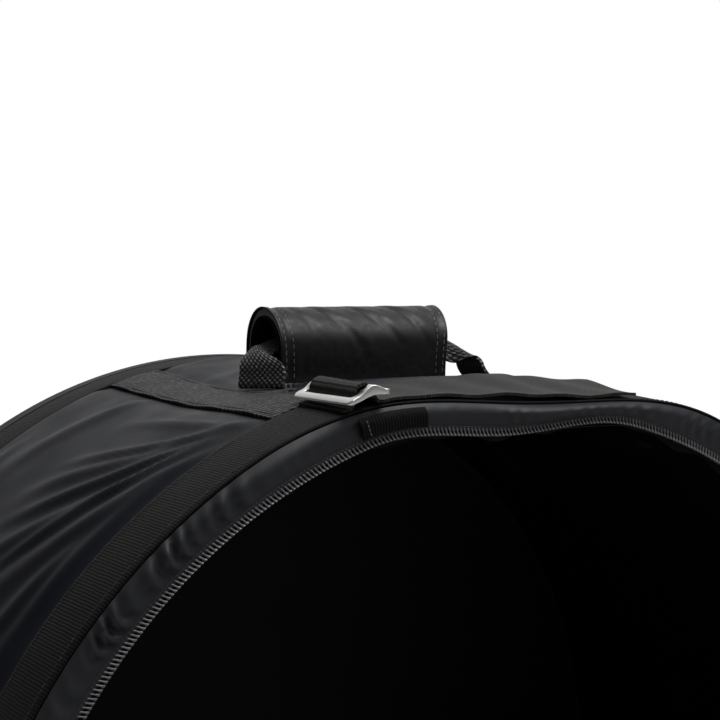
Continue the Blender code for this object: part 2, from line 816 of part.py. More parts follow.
def build_slider(word, side, finishes):
    coil_gap_middle = (coil_inner_radius + lid_coil_outer_radius) / 2
    axis = Vector((0, -bag_depth / 2, axis_height))
    travel = add_pivot(f"slider_{word}_travel", axis)
    made, centre, depths = slider_mesh(coil_gap_middle)
    plate_front, plate_back, rear_front, rear_back = depths
    body = add_part(f"slider_{word}", made, finishes["nickel"], axis, travel)
    coil_gap = coil_inner_radius - facet_dip(coil_inner_radius) - lid_coil_outer_radius
    post_half = coil_gap / 2 - slider_clearance
    bite = slider_plate_thickness / 2
    window = pull_bar_thickness + 2 * slider_clearance
    top = plate_front - window - bridge_wall
    flange_inner = slider_half_width - slider_flange_thickness
    post_start = slider_length / 2 - slider_post_length - bridge_wall
    blocks = {
        "post": [
            (post_start, plate_back - bite, -post_half),
            (post_start + slider_post_length, rear_front + bite, post_half),
        ],
        "bridge_top": [
            (-bridge_length / 2, top, -bridge_width / 2),
            (bridge_length / 2, top + bridge_wall, bridge_width / 2),
        ],
    }
    for end in (-1, 1):
        leg = sorted((end * bridge_length / 2, end * (bridge_length / 2 - bridge_wall)))
        blocks[f"bridge_leg_{'fore' if end > 0 else 'aft'}"] = [
            (leg[0], top + bridge_wall / 2, -bridge_width / 2),
            (leg[1], plate_front + bite, bridge_width / 2),
        ]
        edge = sorted((end * flange_inner, end * slider_half_width))
        blocks[f"flange_{'outer' if end > 0 else 'inner'}"] = [
            (slider_length / 2 * slider_flange_shares[0], plate_back - bite, edge[0]),
            (slider_length / 2 * slider_flange_shares[1], plate_back + slider_flange_depth, edge[1]),
        ]
    helpers = []
    for name, (low, high) in blocks.items():
        block = bmesh.new()
        box_into(block, centre + Vector(low), centre + Vector(high))
        helpers.append(add_part(f"block_{word}_{name}", block, finishes["nickel"], axis, travel))
    join_by_boolean(body, helpers)
    bar_depth = plate_front - slider_clearance - pull_bar_thickness / 2
    bar = centre + Vector((0, bar_depth, 0))
    add_part(f"pull_{word}", pull_mesh(bar, side), finishes["nickel"], bar, travel)
    travel.rotation_euler = (0, side * slider_park_angle, 0)


def pull_mesh(bar, side):
    """A flat tab whose end bar lies under the slider's bridge, pointing towards the zipper's end."""
    reach = pull_length - pull_bar_thickness / 2
    middle = (reach - pull_bar_thickness / 2) / 2
    outline = rounded_outline(pull_length, pull_width, pull_corner, centre=(middle, 0.0))
    eye_middle = pull_bar_thickness / 2 + pull_eye_length / 2
    eye = rounded_outline(pull_eye_length, pull_eye_width, pull_eye_corner, centre=(eye_middle, 0.0))
    made = plate_mesh(outline, [eye], pull_bar_thickness)
    stand = Matrix.Rotation(math.pi / 2, 4, "X") @ Matrix.Translation((0, 0, -pull_bar_thickness / 2))
    turn = Matrix.Rotation(0.0 if side > 0 else math.pi, 4, "Z")
    bmesh.ops.transform(made, matrix=Matrix.Translation(bar) @ turn @ stand, verts=made.verts)
    return made


# Slide buckle


def buckle_rise(x):
    """The die-cast frame is arched: its centre bar stands higher than its long bars."""
    return buckle_arch * math.cos(math.pi / 2 * min(abs(x) / (buckle_width / 2), 1.0)) ** 2


def build_buckle(finishes):
    slot_width = (buckle_width - 2 * buckle_long_bar - buckle_centre_bar) / 2
    slot_length = buckle_length - 2 * buckle_side_bar
    slot_middle = (buckle_centre_bar + slot_width) / 2
    outline = rounded_outline(buckle_width, buckle_length, buckle_corner, buckle_run_pitch)
    slots = []
    for end in (-1, 1):
        centre = (end * slot_middle, 0.0)
        slots.append(rounded_outline(slot_width, slot_length, buckle_slot_corner, buckle_run_pitch, centre))
    frame = plate_mesh(outline, slots, buckle_thickness, buckle_rise)
    bmesh.ops.translate(frame, vec=(0, 0, -buckle_thickness / 2 - buckle_arch), verts=frame.verts)
    part = add_part("buckle_frame", frame, finishes["nickel"])
    edges = part.modifiers.new("worn_edges", "BEVEL")
    edges.width = buckle_edge_bevel
    edges.segments = 1
    edges.limit_method = "ANGLE"
    edges.angle_limit = buckle_bevel_angle
    place, lie = buckle_seat()
    part.matrix_world = Matrix.Translation(place) @ lie


def buckle_seat():
    """Where the centre bar's middle lies, and the turn that lays the frame along the sunken wall."""
    half_turn = buckle_width / 2 / wall_radius(buckle_depth_position)
    left = wall_point(buckle_depth_position, buckle_angle - half_turn, webbing_lift)
    right = wall_point(buckle_depth_position, buckle_angle + half_turn, webbing_lift)
    front = wall_point(-band_overlap, buckle_angle, webbing_lift)
    rear = wall_point(band_end, buckle_angle, webbing_lift)
    along = right - left
    roll = math.atan2(-along.z, along.x)
    outward = Vector((math.sin(roll), 0, math.cos(roll)))
    pitch = math.atan2((rear - front).dot(outward), band_end + band_overlap)
    lie = Matrix.Rotation(roll, 4, "Y") @ Matrix.Rotation(pitch, 4, "X")
    middle = wall_point(buckle_depth_position, buckle_angle, webbing_lift)
    height = buckle_ride_height + buckle_arch + buckle_thickness / 2
    return middle + outward * height, lie


# Handle


def wrap_profile(offset):
    """The wrap's section in Y and Z, from its rear leg over the top to where its flap hangs."""
    centre = Vector((handle_depth_position - bag_depth / 2, wrap_centre_height))
    radius = wrap_outer_radius - offset
    points = [centre + Vector((radius, -wrap_rear_leg))]
    for step in range(wrap_arc_steps + 1):
        angle = math.pi * step / wrap_arc_steps
        points.append(centre + Vector((radius * math.cos(angle), radius * math.sin(angle))))
    return points


def along_x(profile, half_length):
    """A grid of points: the profile at both ends of a straight run along X."""
    return [[Vector((x, point.x, point.y)) for x in (-half_length, half_length)] for point in profile]


def build_wrap(finishes):
    layers = wrap_layers()
    lift = Vector((0, handle_depth_position - bag_depth / 2, wrap_centre_height))
    for name, finish, start, thickness in layers:
        outer = along_x(wrap_profile(start), wrap_half_length)
        inner = along_x(wrap_profile(start + thickness), wrap_half_length)
        add_part(f"wrap_{name}", slab_mesh(inner, outer), finishes[finish], lift)
    front = handle_depth_position - bag_depth / 2 - wrap_outer_radius
    top = wrap_centre_height - seam_gap
    flap_hinge = Vector((0, front, top))
    for name, finish, start, thickness in layers:
        grids = []
        for offset in (start, start + thickness):
            edge = [Vector((front + offset, top)), Vector((front + offset, top - wrap_flap_length))]
            grids.append(along_x(edge, wrap_half_length))
        add_part(f"flap_{name}", slab_mesh(*grids), finishes[finish], flap_hinge)
    depth = layers[-1][2] + layers[-1][3] + seam_gap
    low = top - wrap_flap_length + fastener_edge
    hook_edges = [
        [Vector((front + offset, low)), Vector((front + offset, low + fastener_width))]
        for offset in (depth, depth + fastener_thickness)
    ]
    hook = slab_mesh(*(along_x(edge, fastener_half_length) for edge in hook_edges))
    add_part("hook_strip", hook, finishes["fastener"], flap_hinge)
    rear = handle_depth_position - bag_depth / 2 + wrap_outer_radius + seam_gap
    low = wrap_centre_height - wrap_rear_leg
    loop_edges = [
        [Vector((rear + offset, low)), Vector((rear + offset, low + fastener_width - fastener_edge))]
        for offset in (0.0, fastener_thickness)
    ]
    loop = slab_mesh(*(along_x(edge, fastener_half_length) for edge in loop_edges))
    add_part("loop_strip", loop, finishes["fastener"], lift)


def wrap_layers():
    """Name, finish, start below the outer face and thickness of the wrap's three layers."""
    padding_start = wrap_cover_thickness + seam_gap
    lining_start = padding_start + wrap_padding_thickness + seam_gap
    return (
        ("cover", "leatherette", 0.0, wrap_cover_thickness),
        ("padding", "foam", padding_start, wrap_padding_thickness),
        ("lining", "lining", lining_start, wrap_lining_thickness),
    )


def loop_path():
    """Half of the loop, from its foot to the middle of the wrap: (x, z, share of the way to the wrap)."""
    radius = wall_radius(loop_foot_depth)
    strap_angle = side_strap_angle(loop_foot_depth)
    height = webbing_lift + seam_gap + loop_thickness / 2
    foot = []
    for across in (loop_foot_inner, (loop_foot_inner + loop_foot_outer) / 2, loop_foot_outer):
        point = wall_point(loop_foot_depth, strap_angle - across / radius, height)
        foot.append(Vector((point.x, point.z)))
    outward = (foot[-1] - foot[-2]).normalized()
    bulge = foot[-1] + Vector((loop_bulge, loop_bulge_rise))
    wrap_roof = wrap_outer_radius - wrap_layers()[-1][2] - wrap_layers()[-1][3]
    top = Vector((0.0, wrap_centre_height + wrap_roof - loop_top_clearance - loop_thickness / 2))
    mouth = Vector((wrap_half_length, top.y - loop_mouth_drop))
    inwards = Vector((-math.cos(loop_mouth_slope), math.sin(loop_mouth_slope)))
    up = Vector((0.0, 1.0))
    runs = (
        (foot[-1], outward * loop_foot_pull, -up * loop_bulge_pull_in, bulge, 0.0, loop_bulge_share),
        (bulge, up * loop_bulge_pull_out, -inwards * loop_mouth_pull_in, mouth, loop_bulge_share, 1.0),
        (mouth, inwards * loop_mouth_pull_out, Vector((loop_top_pull, 0.0)), top, 1.0, 1.0),
    )
    path = [(point, 0.0) for point in foot[:-1]]
    for start, pull_out, pull_in, end, share_start, share_end in runs:
        corners = (start, start + pull_out, end + pull_in, end)
        points = interpolate_bezier(*(corner.to_3d() for corner in corners), loop_steps)
        for index, point in enumerate(points[:-1]):
            share = share_start + (share_end - share_start) * index / (loop_steps - 1)
            path.append((Vector((point.x, point.y)), share))
    path.append((top, 1.0))
    return path


def build_loop(finishes):
    half = loop_path()
    path = half + [(Vector((-point.x, point.y)), share) for point, share in reversed(half[:-1])]
    points = [point for point, share in path]
    foot_angle = side_strap_angle(loop_foot_depth) - loop_foot_outer / wall_radius(loop_foot_depth)
    near = wall_point(loop_foot_depth - loop_width / 2, foot_angle, 0.0)
    far = wall_point(loop_foot_depth + loop_width / 2, foot_angle, 0.0)
    slope = (far.z - near.z) / loop_width
    lower_edge = offset_profile(points, loop_thickness / 2)
    upper_edge = offset_profile(points, -loop_thickness / 2)
    lower, upper = [], []
    for (_, share), low, high in zip(path, lower_edge, upper_edge):
        ease = share * share * (3 - 2 * share)
        middle = loop_foot_depth + (handle_depth_position - loop_foot_depth) * ease - bag_depth / 2
        half_width = (loop_width + (loop_folded_width - loop_width) * ease) / 2
        lean = slope * (1 - ease)
        for grid, point in ((lower, low), (upper, high)):
            edges = (-half_width, half_width)
            grid.append([Vector((point.x, middle + edge, point.y + lean * edge)) for edge in edges])
    add_part("handle_loop", slab_mesh(lower, upper), finishes["webbing"])


def build_handle(finishes):
    build_wrap(finishes)
    build_loop(finishes)
    build_patches(finishes)


def make_finishes():
    return {
        "nylon": material("nylon", colour=(0.030, 0.032, 0.040), roughness=0.55),
        "foam": material("foam", colour=(0.05, 0.05, 0.05), roughness=0.9),
        "lining": material("lining", colour=(0.012, 0.012, 0.013), roughness=0.8),
        "webbing": material("webbing", colour=(0.028, 0.026, 0.025), roughness=0.75),
        "binding": material("binding", colour=(0.018, 0.018, 0.019), roughness=0.7),
        "tape": material("tape", colour=(0.020, 0.020, 0.022), roughness=0.8),
        "coil": material("coil", colour=(0.030, 0.030, 0.032), roughness=0.3),
        "nickel": material("nickel", colour=(0.62, 0.61, 0.59), roughness=0.3, metallic=1.0),
        "leatherette": material("leatherette", colour=(0.022, 0.021, 0.021), roughness=0.35),
        "fastener": material("fastener", colour=(0.02, 0.02, 0.02), roughness=0.95),
    }


def main():
    for old in list(bpy.data.objects):
        bpy.data.objects.remove(old, do_unlink=True)
    finishes = make_finishes()
    build_gusset(finishes)
    build_back_panel(finishes)
    build_straps(finishes)
    build_strap_tail(finishes)
    build_front_face(finishes)
    build_lid(finishes)
    for word, side in (("left", -1), ("right", 1)):
        build_slider(word, side, finishes)
    build_buckle(finishes)
    build_handle(finishes)


main()
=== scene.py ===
"""Looks of a padded bass drum bag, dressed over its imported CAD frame.

Metres, +Z up. The bag's axis runs along Y and its mouth faces -Y. A depth is measured from the plane of
the mouth towards the back, and an angle from the top of the bag towards +X.
"""

import logging
import math
from collections.abc import Callable
from dataclasses import dataclass
from enum import Enum

import bpy
import numpy as np
from mathutils import Matrix, Vector
from mathutils.geometry import interpolate_bezier


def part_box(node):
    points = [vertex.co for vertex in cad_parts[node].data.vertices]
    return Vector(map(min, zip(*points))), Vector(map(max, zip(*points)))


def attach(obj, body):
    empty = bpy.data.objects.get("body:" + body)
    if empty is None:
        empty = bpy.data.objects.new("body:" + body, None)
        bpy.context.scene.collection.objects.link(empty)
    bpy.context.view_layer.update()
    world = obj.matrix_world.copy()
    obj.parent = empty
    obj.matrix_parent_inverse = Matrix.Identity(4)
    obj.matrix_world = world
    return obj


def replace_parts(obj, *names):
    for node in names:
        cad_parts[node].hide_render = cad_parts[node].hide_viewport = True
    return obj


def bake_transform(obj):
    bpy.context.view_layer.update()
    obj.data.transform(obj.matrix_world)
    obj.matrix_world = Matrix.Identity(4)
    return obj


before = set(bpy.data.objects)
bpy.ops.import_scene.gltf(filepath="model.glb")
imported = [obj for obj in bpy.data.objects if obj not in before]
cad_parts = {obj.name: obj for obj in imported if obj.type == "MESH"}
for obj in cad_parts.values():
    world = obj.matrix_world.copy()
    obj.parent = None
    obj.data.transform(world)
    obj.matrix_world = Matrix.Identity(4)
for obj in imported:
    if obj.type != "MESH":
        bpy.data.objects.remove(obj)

log = logging.getLogger("bag")
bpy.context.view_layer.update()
Array = np.ndarray
ArrayPair = tuple[Array, Array]
Placer = Callable[[Array, Array], ArrayPair]
Span = tuple[float, float]
Triple = tuple[float, float, float]
Colour = Triple
Piece = bpy.types.Object
Socket = bpy.types.NodeSocket
MM = 0.001
TURN = 2 * math.pi


# Shared form of the bag


def hump(value: Array, middle: float, half_width: float) -> Array:
    """A smooth rise from 0 to 1 about a middle, that is 0 from the half width outwards."""
    share = np.clip(np.abs(value - middle) / half_width, 0.0, 1.0)
    return np.cos(math.pi / 2 * share) ** 2


def ease(value: Array, start: float, end: float) -> Array:
    """A smooth step from 0 at the start to 1 at the end."""
    share = np.clip((value - start) / (end - start), 0.0, 1.0)
    return share * share * (3 - 2 * share)


@dataclass(frozen=True)
class Ridge:
    """A long soft fold of the wall's cloth.

    Its angle and depth are where it starts, and its heading is measured from straight back towards +X.
    """

    angle: float
    depth: float
    heading: float
    length: float
    height: float
    width_start: float = 5.0
    width_end: float = 16.0


# Angle, depth, heading, length, height and the widths at the start and the end, in degrees and millimetres
FOLD_TABLE = (
    (-23.4, 62, -12, 170, 1.8, 3, 7),
    (-24.0, 60, -26, 190, 2.3, 3, 7),
    (-24.6, 58, -39, 210, 2.6, 3, 8),
    (-25.2, 56, -51, 220, 2.4, 3, 8),
    (-29, 84, -31, 170, 2.0, 4, 9),
    (-30, 72, -46, 200, 2.2, 4, 9),
    (-22, 50, -48, 120, 1.5, 4, 12),
    (-24, 50, -66, 190, 2.1, 4, 13),
    (-26, 50, -78, 200, 1.7, 4, 11),
    (-30, 54, -57, 220, 1.9, 6, 17),
    (-40, 60, -70, 210, 1.8, 6, 15),
    (-36, 92, -40, 200, 1.6, 8, 20),
    (-48, 74, -80, 240, 1.8, 8, 18),
    (-60, 110, -60, 260, 2.0, 10, 24),
    (12, 52, 62, 120, 1.6, 5, 14),
    (5, 52, 25, 110, 1.5, 6, 16),
    (24, 60, 48, 190, 2.0, 7, 18),
    (34, 58, 72, 230, 1.9, 7, 18),
    (-14, 262, 64, 150, 1.6, 9, 18),
    (-20, 238, -60, 150, 1.6, 8, 16),
    (-12, 330, 74, 130, 1.4, 7, 12),
    (26, 300, 80, 210, 1.7, 8, 18),
    (-30, 330, -82, 220, 1.8, 8, 18),
    (62, 120, 66, 260, 2.1, 10, 24),
    (100, 150, 55, 230, 2.0, 12, 26),
    (-102, 170, -58, 240, 2.0, 12, 26),
    (140, 120, -62, 200, 1.7, 10, 22),
    (-150, 240, 60, 220, 1.8, 10, 22),
)
FOLDS = tuple(Ridge(*row) for row in FOLD_TABLE)


@dataclass(frozen=True)
class BagForm:
    """The round wall that all pieces lie on, as in the CAD source, with the slack top of the photograph."""

    depth: float = 420 * MM
    mouth_radius: float = 322.5 * MM
    rear_flare: float = 11.5 * MM
    floor_press: float = 10.5 * MM
    floor_bend: float = 5 * MM
    crown_sag: float = 9 * MM
    crown_half_angle: float = 26
    dip: float = 8 * MM
    dip_half_angle: float = 40
    dip_reach: float = 155 * MM
    edge_sag: float = 9 * MM
    edge_span: Span = (-1.0, 28.0)
    broad_sag: float = 9.5 * MM
    broad_span: Span = (4.0, 23.0)
    coil_sag: float = 12 * MM
    coil_span: Span = (-1.0, 17.0)
    coil_radius: float = 302 * MM
    edge_reach: float = 64 * MM
    webbing: float = 1.8 * MM
    gap: float = 0.35 * MM
    band_start: float = -1.5 * MM
    band_end: float = 48.5 * MM
    rear_strap_start: float = 350 * MM
    rear_strap_end: float = 400 * MM
    strap_width: float = 37 * MM
    strap_front_angle: float = 19.4
    strap_rear_angle: float = 16.4
    folds: tuple[Ridge, ...] = FOLDS

    @property
    def axis_height(self) -> float:
        """Height of the bag's axis over the floor."""
        return self.mouth_radius - self.floor_press

    @property
    def rear_radius(self) -> float:
        """Radius of the wall at the back."""
        return self.mouth_radius + self.rear_flare

    @property
    def lift(self) -> float:
        """Outer face of a strap over the wall."""
        return self.webbing + self.gap

    def wall_radius(self, depth: Array) -> Array:
        """Outer radius of the wall at a depth."""
        share = np.clip(depth / self.depth, 0.0, 1.0)
        return self.rear_radius - (self.rear_radius - self.mouth_radius) * (1 - share) ** 2

    def mouth_sag(self, angle: Array) -> Array:
        """How far the wall's front edge has sunk at the top."""
        turn = np.degrees(angle)
        return self.edge_sag * hump(turn, *self.edge_span) + self.broad_sag * hump(turn, *self.broad_span)

    def sag(self, depth: Array, angle: Array) -> Array:
        """How far the wall has sunk at a place.

        Args:
            depth: Depths of the places.
            angle: Angles of the places, within half a turn of the top.

        Returns:
            The drop towards the axis.
        """
        share = np.clip(depth / self.depth, 0.0, 1.0)
        turn = np.degrees(angle)
        behind = self.crown_sag * (1 - share**2) * hump(turn, 0.0, self.crown_half_angle)
        middle = self.dip * hump(depth, self.depth / 2, self.dip_reach)
        behind = behind + middle * hump(turn, 0.0, self.dip_half_angle)
        front = 1 - ease(depth, 0.0, self.edge_reach)
        return front * self.mouth_sag(angle) + (1 - front) * behind

    def face_sag(self, radius: Array, angle: Array) -> Array:
        """How far the front face has sunk at a radius, from the zipper's teeth out to the wall's edge."""
        coil = self.coil_sag * hump(np.degrees(angle), *self.coil_span)
        share = np.clip((radius - self.coil_radius) / (self.mouth_radius - self.coil_radius), 0.0, 1.0)
        return coil + (self.mouth_sag(angle) - coil) * share

    def swell(self, depth: Array, angle: Array) -> Array:
        """How far the folds and slow waves of the cloth stand out of the plain round wall.

        Args:
            depth: Depths of the places.
            angle: Angles of the places.

        Returns:
            The rise away from the axis.
        """
        along = angle * self.rear_radius / MM
        back = depth / MM
        rise = np.zeros_like(along)
        for fold in self.folds:
            east = along - math.radians(fold.angle) * self.rear_radius / MM
            north = back - fold.depth
            heading = math.radians(fold.heading)
            run = (east * math.sin(heading) + north * math.cos(heading)) / fold.length
            across = east * math.cos(heading) - north * math.sin(heading)
            across = across + 0.05 * fold.length * np.sin(3.0 * run + fold.angle)
            width = fold.width_start + (fold.width_end - fold.width_start) * np.clip(run, 0.0, 1.0)
            fade = ease(run, 0.0, 0.3) * (1 - ease(run, 0.55, 1.0))
            rise += (1.2 * fold.height * fade * np.exp(-((across / width) ** 2))) ** 2
        rise = np.sqrt(rise)
        waves = 0.6 * np.sin(along / 61.0 + 0.7 * np.sin(back / 70.0)) * np.sin(back / 83.0 + along / 190.0)
        waves += 0.4 * np.sin(along / 27.0 + back / 41.0) * np.sin(back / 35.0 - along / 90.0)
        clear = ease(back, 30.0, 75.0) * (1 - ease(back, 385.0, 415.0))
        return (rise + waves) * clear * MM

    def point(self, depth: Array, radius: Array, flat: Array, angle: Array) -> Array:
        """Points about the bag's axis, pressed flat by the floor at the bottom.

        Args:
            depth: Depths of the points.
            radius: Distances from the axis, after any sag.
            flat: The least height that each point may have.
            angle: Angles of the points.

        Returns:
            An array of points.
        """
        x = radius * np.sin(angle)
        z = self.axis_height + radius * np.cos(angle)
        above = np.clip(z - flat, -self.floor_bend, self.floor_bend)
        bent = flat + (above + self.floor_bend) ** 2 / (4 * self.floor_bend)
        below = z < flat + self.floor_bend
        x = np.where(below, (bent - self.axis_height) * np.tan(angle), x)
        return np.stack([x, depth - self.depth / 2, np.where(below, bent, z)], axis=1)

    def wall_point(self, depth: Array, angle: Array, offset: Array, still: bool = False) -> Array:
        """Points over the wall.

        Args:
            depth: Depths of the points.
            angle: Angles of the points.
            offset: How far each point stands out of the shell's face.
            still: Leaves out the folds.

        Returns:
            An array of points.
        """
        swell = 0.0 if still else self.swell(depth, angle)
        radius = self.wall_radius(depth) + offset - self.sag(depth, angle) + swell
        return self.point(depth, radius, np.maximum(self.lift - offset, 0.0), angle)

    def face_point(self, depth: Array, radius: Array, angle: Array, flat: float = 0.0) -> Array:
        """Points of the front face, sunk with the teeth or the wall's edge."""
        return self.point(depth, radius - self.face_sag(radius, angle), np.full_like(angle, flat), angle)

    def strap_angle(self, depth: Array) -> Array:
        """Angle of the middle of the right side strap, in radians."""
        share = (depth - self.band_end) / (self.rear_strap_start - self.band_end)
        return np.radians(self.strap_front_angle + (self.strap_rear_angle - self.strap_front_angle) * share)


FORM = BagForm()


# Modelling helpers


def clear_selection() -> None:
    """Leaves nothing selected and nothing active."""
    for item in bpy.context.selected_objects:
        item.select_set(False)
    bpy.context.view_layer.objects.active = None


def take_up(piece: Piece) -> None:
    """Makes one piece the only selected and the active one."""
    clear_selection()
    piece.select_set(True)
    bpy.context.view_layer.objects.active = piece


def start_piece(name: str) -> Piece:
    """Names the primitive that was just added."""
    piece = bpy.context.object
    piece.name = name
    piece.data.name = name
    return piece


def settle(piece: Piece) -> Piece:
    """Puts the piece's place, turn and scale into its mesh."""
    take_up(piece)
    bpy.ops.object.transform_apply(location=True, rotation=True, scale=True)
    return piece


def in_edit_mode(piece: Piece, *steps: Callable[[], object], mode: str = "VERT") -> Piece:
    """Runs edit mode steps on the whole mesh.

    Args:
        piece: The mesh to edit.
        steps: Calls of operators, run in order with all of the mesh selected.
        mode: What is selected: VERT, EDGE or FACE.

    Returns:
        The same piece.
    """
    take_up(piece)
    bpy.ops.object.mode_set(mode="EDIT")
    bpy.ops.mesh.select_mode(type=mode)
    for step in steps:
        bpy.ops.mesh.select_all(action="SELECT")
        step()
    bpy.ops.object.mode_set(mode="OBJECT")
    return piece


def merge_and_turn_out(piece: Piece) -> Piece:
    """Merges the seams of a closed piece and points its faces outwards."""
    return in_edit_mode(
        piece,
        lambda: bpy.ops.mesh.remove_doubles(threshold=0.00002),
        lambda: bpy.ops.mesh.normals_make_consistent(inside=False),
    )


def apply_modifier(piece: Piece, kind: str, **settings: object) -> Piece:
    """Adds a modifier and applies it.

    Args:
        piece: The mesh that it works on.
        kind: The modifier's type.
        settings: Its values by name.

    Returns:
        The same piece.
    """
    take_up(piece)
    modifier = piece.modifiers.new(kind.lower(), kind)
    for key, value in settings.items():
        setattr(modifier, key, value)
    bpy.ops.object.modifier_apply(modifier=modifier.name)
    return piece


def solidify(sheet: Piece, thickness: float, even: bool = True) -> Piece:
    """Gives a sheet its thickness, half to each side."""
    return apply_modifier(sheet, "SOLIDIFY", thickness=thickness, offset=0.0, use_even_offset=even)


def thicken(sheet: Piece, thickness: float, angle: float = 45.0, even: bool = True) -> Piece:
    """Gives a laid sheet its thickness and shades it smooth but for edges sharper than the angle."""
    return smooth(merge_and_turn_out(solidify(sheet, thickness, even)), angle)


def cut_at(planes: list[tuple[Vector, Vector]]) -> None:
    """Cuts the mesh in edit mode along planes, each given by a point and its normal."""
    for point, normal in planes:
        bpy.ops.mesh.select_all(action="SELECT")
        bpy.ops.mesh.bisect(plane_co=point, plane_no=normal)


def bevel_edges(piece: Piece, width: float, segments: int = 1) -> Piece:
    """Bevels every edge of a small shape."""
    return in_edit_mode(
        piece, lambda: bpy.ops.mesh.bevel(offset=width, segments=segments, affect="EDGES"), mode="EDGE"
    )


def round_edges(piece: Piece, width: float, segments: int, angle: float) -> Piece:
    """Rounds the edges that are sharper than an angle in degrees."""
    limit = math.radians(angle)
    return apply_modifier(
        piece, "BEVEL", width=width, segments=segments, limit_method="ANGLE", angle_limit=limit
    )


def coordinates_of(piece: Piece) -> Array:
    """The piece's points as an array."""
    flat = np.empty(len(piece.data.vertices) * 3)
    piece.data.vertices.foreach_get("co", flat)
    return flat.reshape(-1, 3)


def move_points(piece: Piece, points: Array) -> Piece:
    """Writes an array of points back to the piece."""
    piece.data.vertices.foreach_set("co", points.astype(np.float32).ravel())
    piece.data.update()
    return piece


def write_flat_coordinates(piece: Piece, flat: Array) -> None:
    """Writes a UV for each point, in metres."""
    layer = piece.data.uv_layers.active or piece.data.uv_layers.new(name="flat")
    corners = np.empty(len(piece.data.loops), dtype=np.int32)
    piece.data.loops.foreach_get("vertex_index", corners)
    layer.data.foreach_set("uv", flat[corners].astype(np.float32).ravel())


def lay_cloth(name: str, rows: Array, columns: Array, place: Placer, closed: bool = False) -> Piece:
    """Lays a grid over a form, with its flat coordinates in metres.

    Args:
        name: The piece's name.
        rows: Values up the grid.
        columns: Values along the grid.
        place: Turns arrays of row and column values into points and flat coordinates.
        closed: The grid meets itself, so its seams are merged and its faces turned outwards.

    Returns:
        The new piece, at the origin.
    """
    clear_selection()
    bpy.ops.mesh.primitive_grid_add(x_subdivisions=len(columns) - 1, y_subdivisions=len(rows) - 1, size=1.0)
    piece = start_piece(name)
    share = coordinates_of(piece) + 0.5
    column = np.rint(share[:, 0] * (len(columns) - 1)).astype(int)
    row = np.rint(share[:, 1] * (len(rows) - 1)).astype(int)
    points, flat = place(rows[row], columns[column])
    move_points(piece, points)
    write_flat_coordinates(piece, flat)
    if closed:
        merge_and_turn_out(piece)
    return smooth(piece)


def smooth(piece: Piece, angle: float = 45.0) -> Piece:
    """Shades the piece smooth but for its sharp edges."""
    take_up(piece)
    bpy.ops.object.shade_smooth_by_angle(angle=math.radians(angle))
    return piece


def ring_angles(fine: float = 0.6, coarse: float = 1.5, low: float = -90.0, high: float = 50.0) -> Array:
    """Angles of a full turn, closer together where the bag is seen from near, in radians."""
    steps = [
        np.linspace(-180.0, low, round((low + 180.0) / coarse) + 1)[:-1],
        np.linspace(low, high, round((high - low) / fine) + 1)[:-1],
        np.linspace(high, 180.0, round((180.0 - high) / coarse) + 1),
    ]
    return np.radians(np.concatenate(steps))


@dataclass(frozen=True)
class Profile:
    """A closed section of a round piece: depths, outward offsets or radii, and the run along it."""

    depth: Array
    out: Array

    @property
    def run(self) -> Array:
        """Length along the section up to each of its corners."""
        steps = np.hypot(np.diff(self.depth), np.diff(self.out))
        return np.concatenate([[0.0], np.cumsum(steps)])


def band_profile(
    start: float, end: float, inner: float, outer: float, steps: int, crown: float = 0.0
) -> Profile:
    """The section of webbing round the wall, with rounded edges.

    Args:
        start: Depth of its front edge.
        end: Depth of its back edge.
        inner: Offset of its underside from the shell.
        outer: Offset of its face from the shell.
        steps: Steps across its face.
        crown: How far the middle of its face stands out.

    Returns:
        A closed section that ends where it starts.
    """
    edge = (outer - inner) / 2
    middle = (inner + outer) / 2
    flat = end - start - 2 * edge
    turns = np.radians(np.linspace(-90, 90, 5))
    face = np.linspace(0, 1, steps + 1)[1:-1]
    under = np.linspace(0, 1, max(2, steps // 2) + 1)[1:-1]
    depth = np.concatenate([
        start + edge - edge * np.cos(turns),
        start + edge + flat * face,
        end - edge + edge * np.cos(turns),
        end - edge - flat * under,
    ])
    out = np.concatenate([
        middle + edge * np.sin(turns),
        outer + crown * np.sin(math.pi * face),
        middle - edge * np.sin(turns),
        np.full(len(under), inner),
    ])
    return Profile(np.append(depth, depth[0]), np.append(out, out[0]))


def wrap_round(name: str, profile: Profile, angles: Array) -> Piece:
    """Carries a section round the wall.

    Args:
        name: The piece's name.
        profile: Its section, with offsets from the shell's face.
        angles: Angles of its cross sections.

    Returns:
        The closed ring.
    """
    index = np.arange(len(profile.depth))

    def place(row: Array, angle: Array) -> ArrayPair:
        """Points and flat coordinates of the section's corners."""
        points = FORM.wall_point(profile.depth[row], angle, profile.out[row])
        return points, np.stack([angle * FORM.rear_radius, profile.run[row]], axis=1)

    return lay_cloth(name, index, angles, place, closed=True)


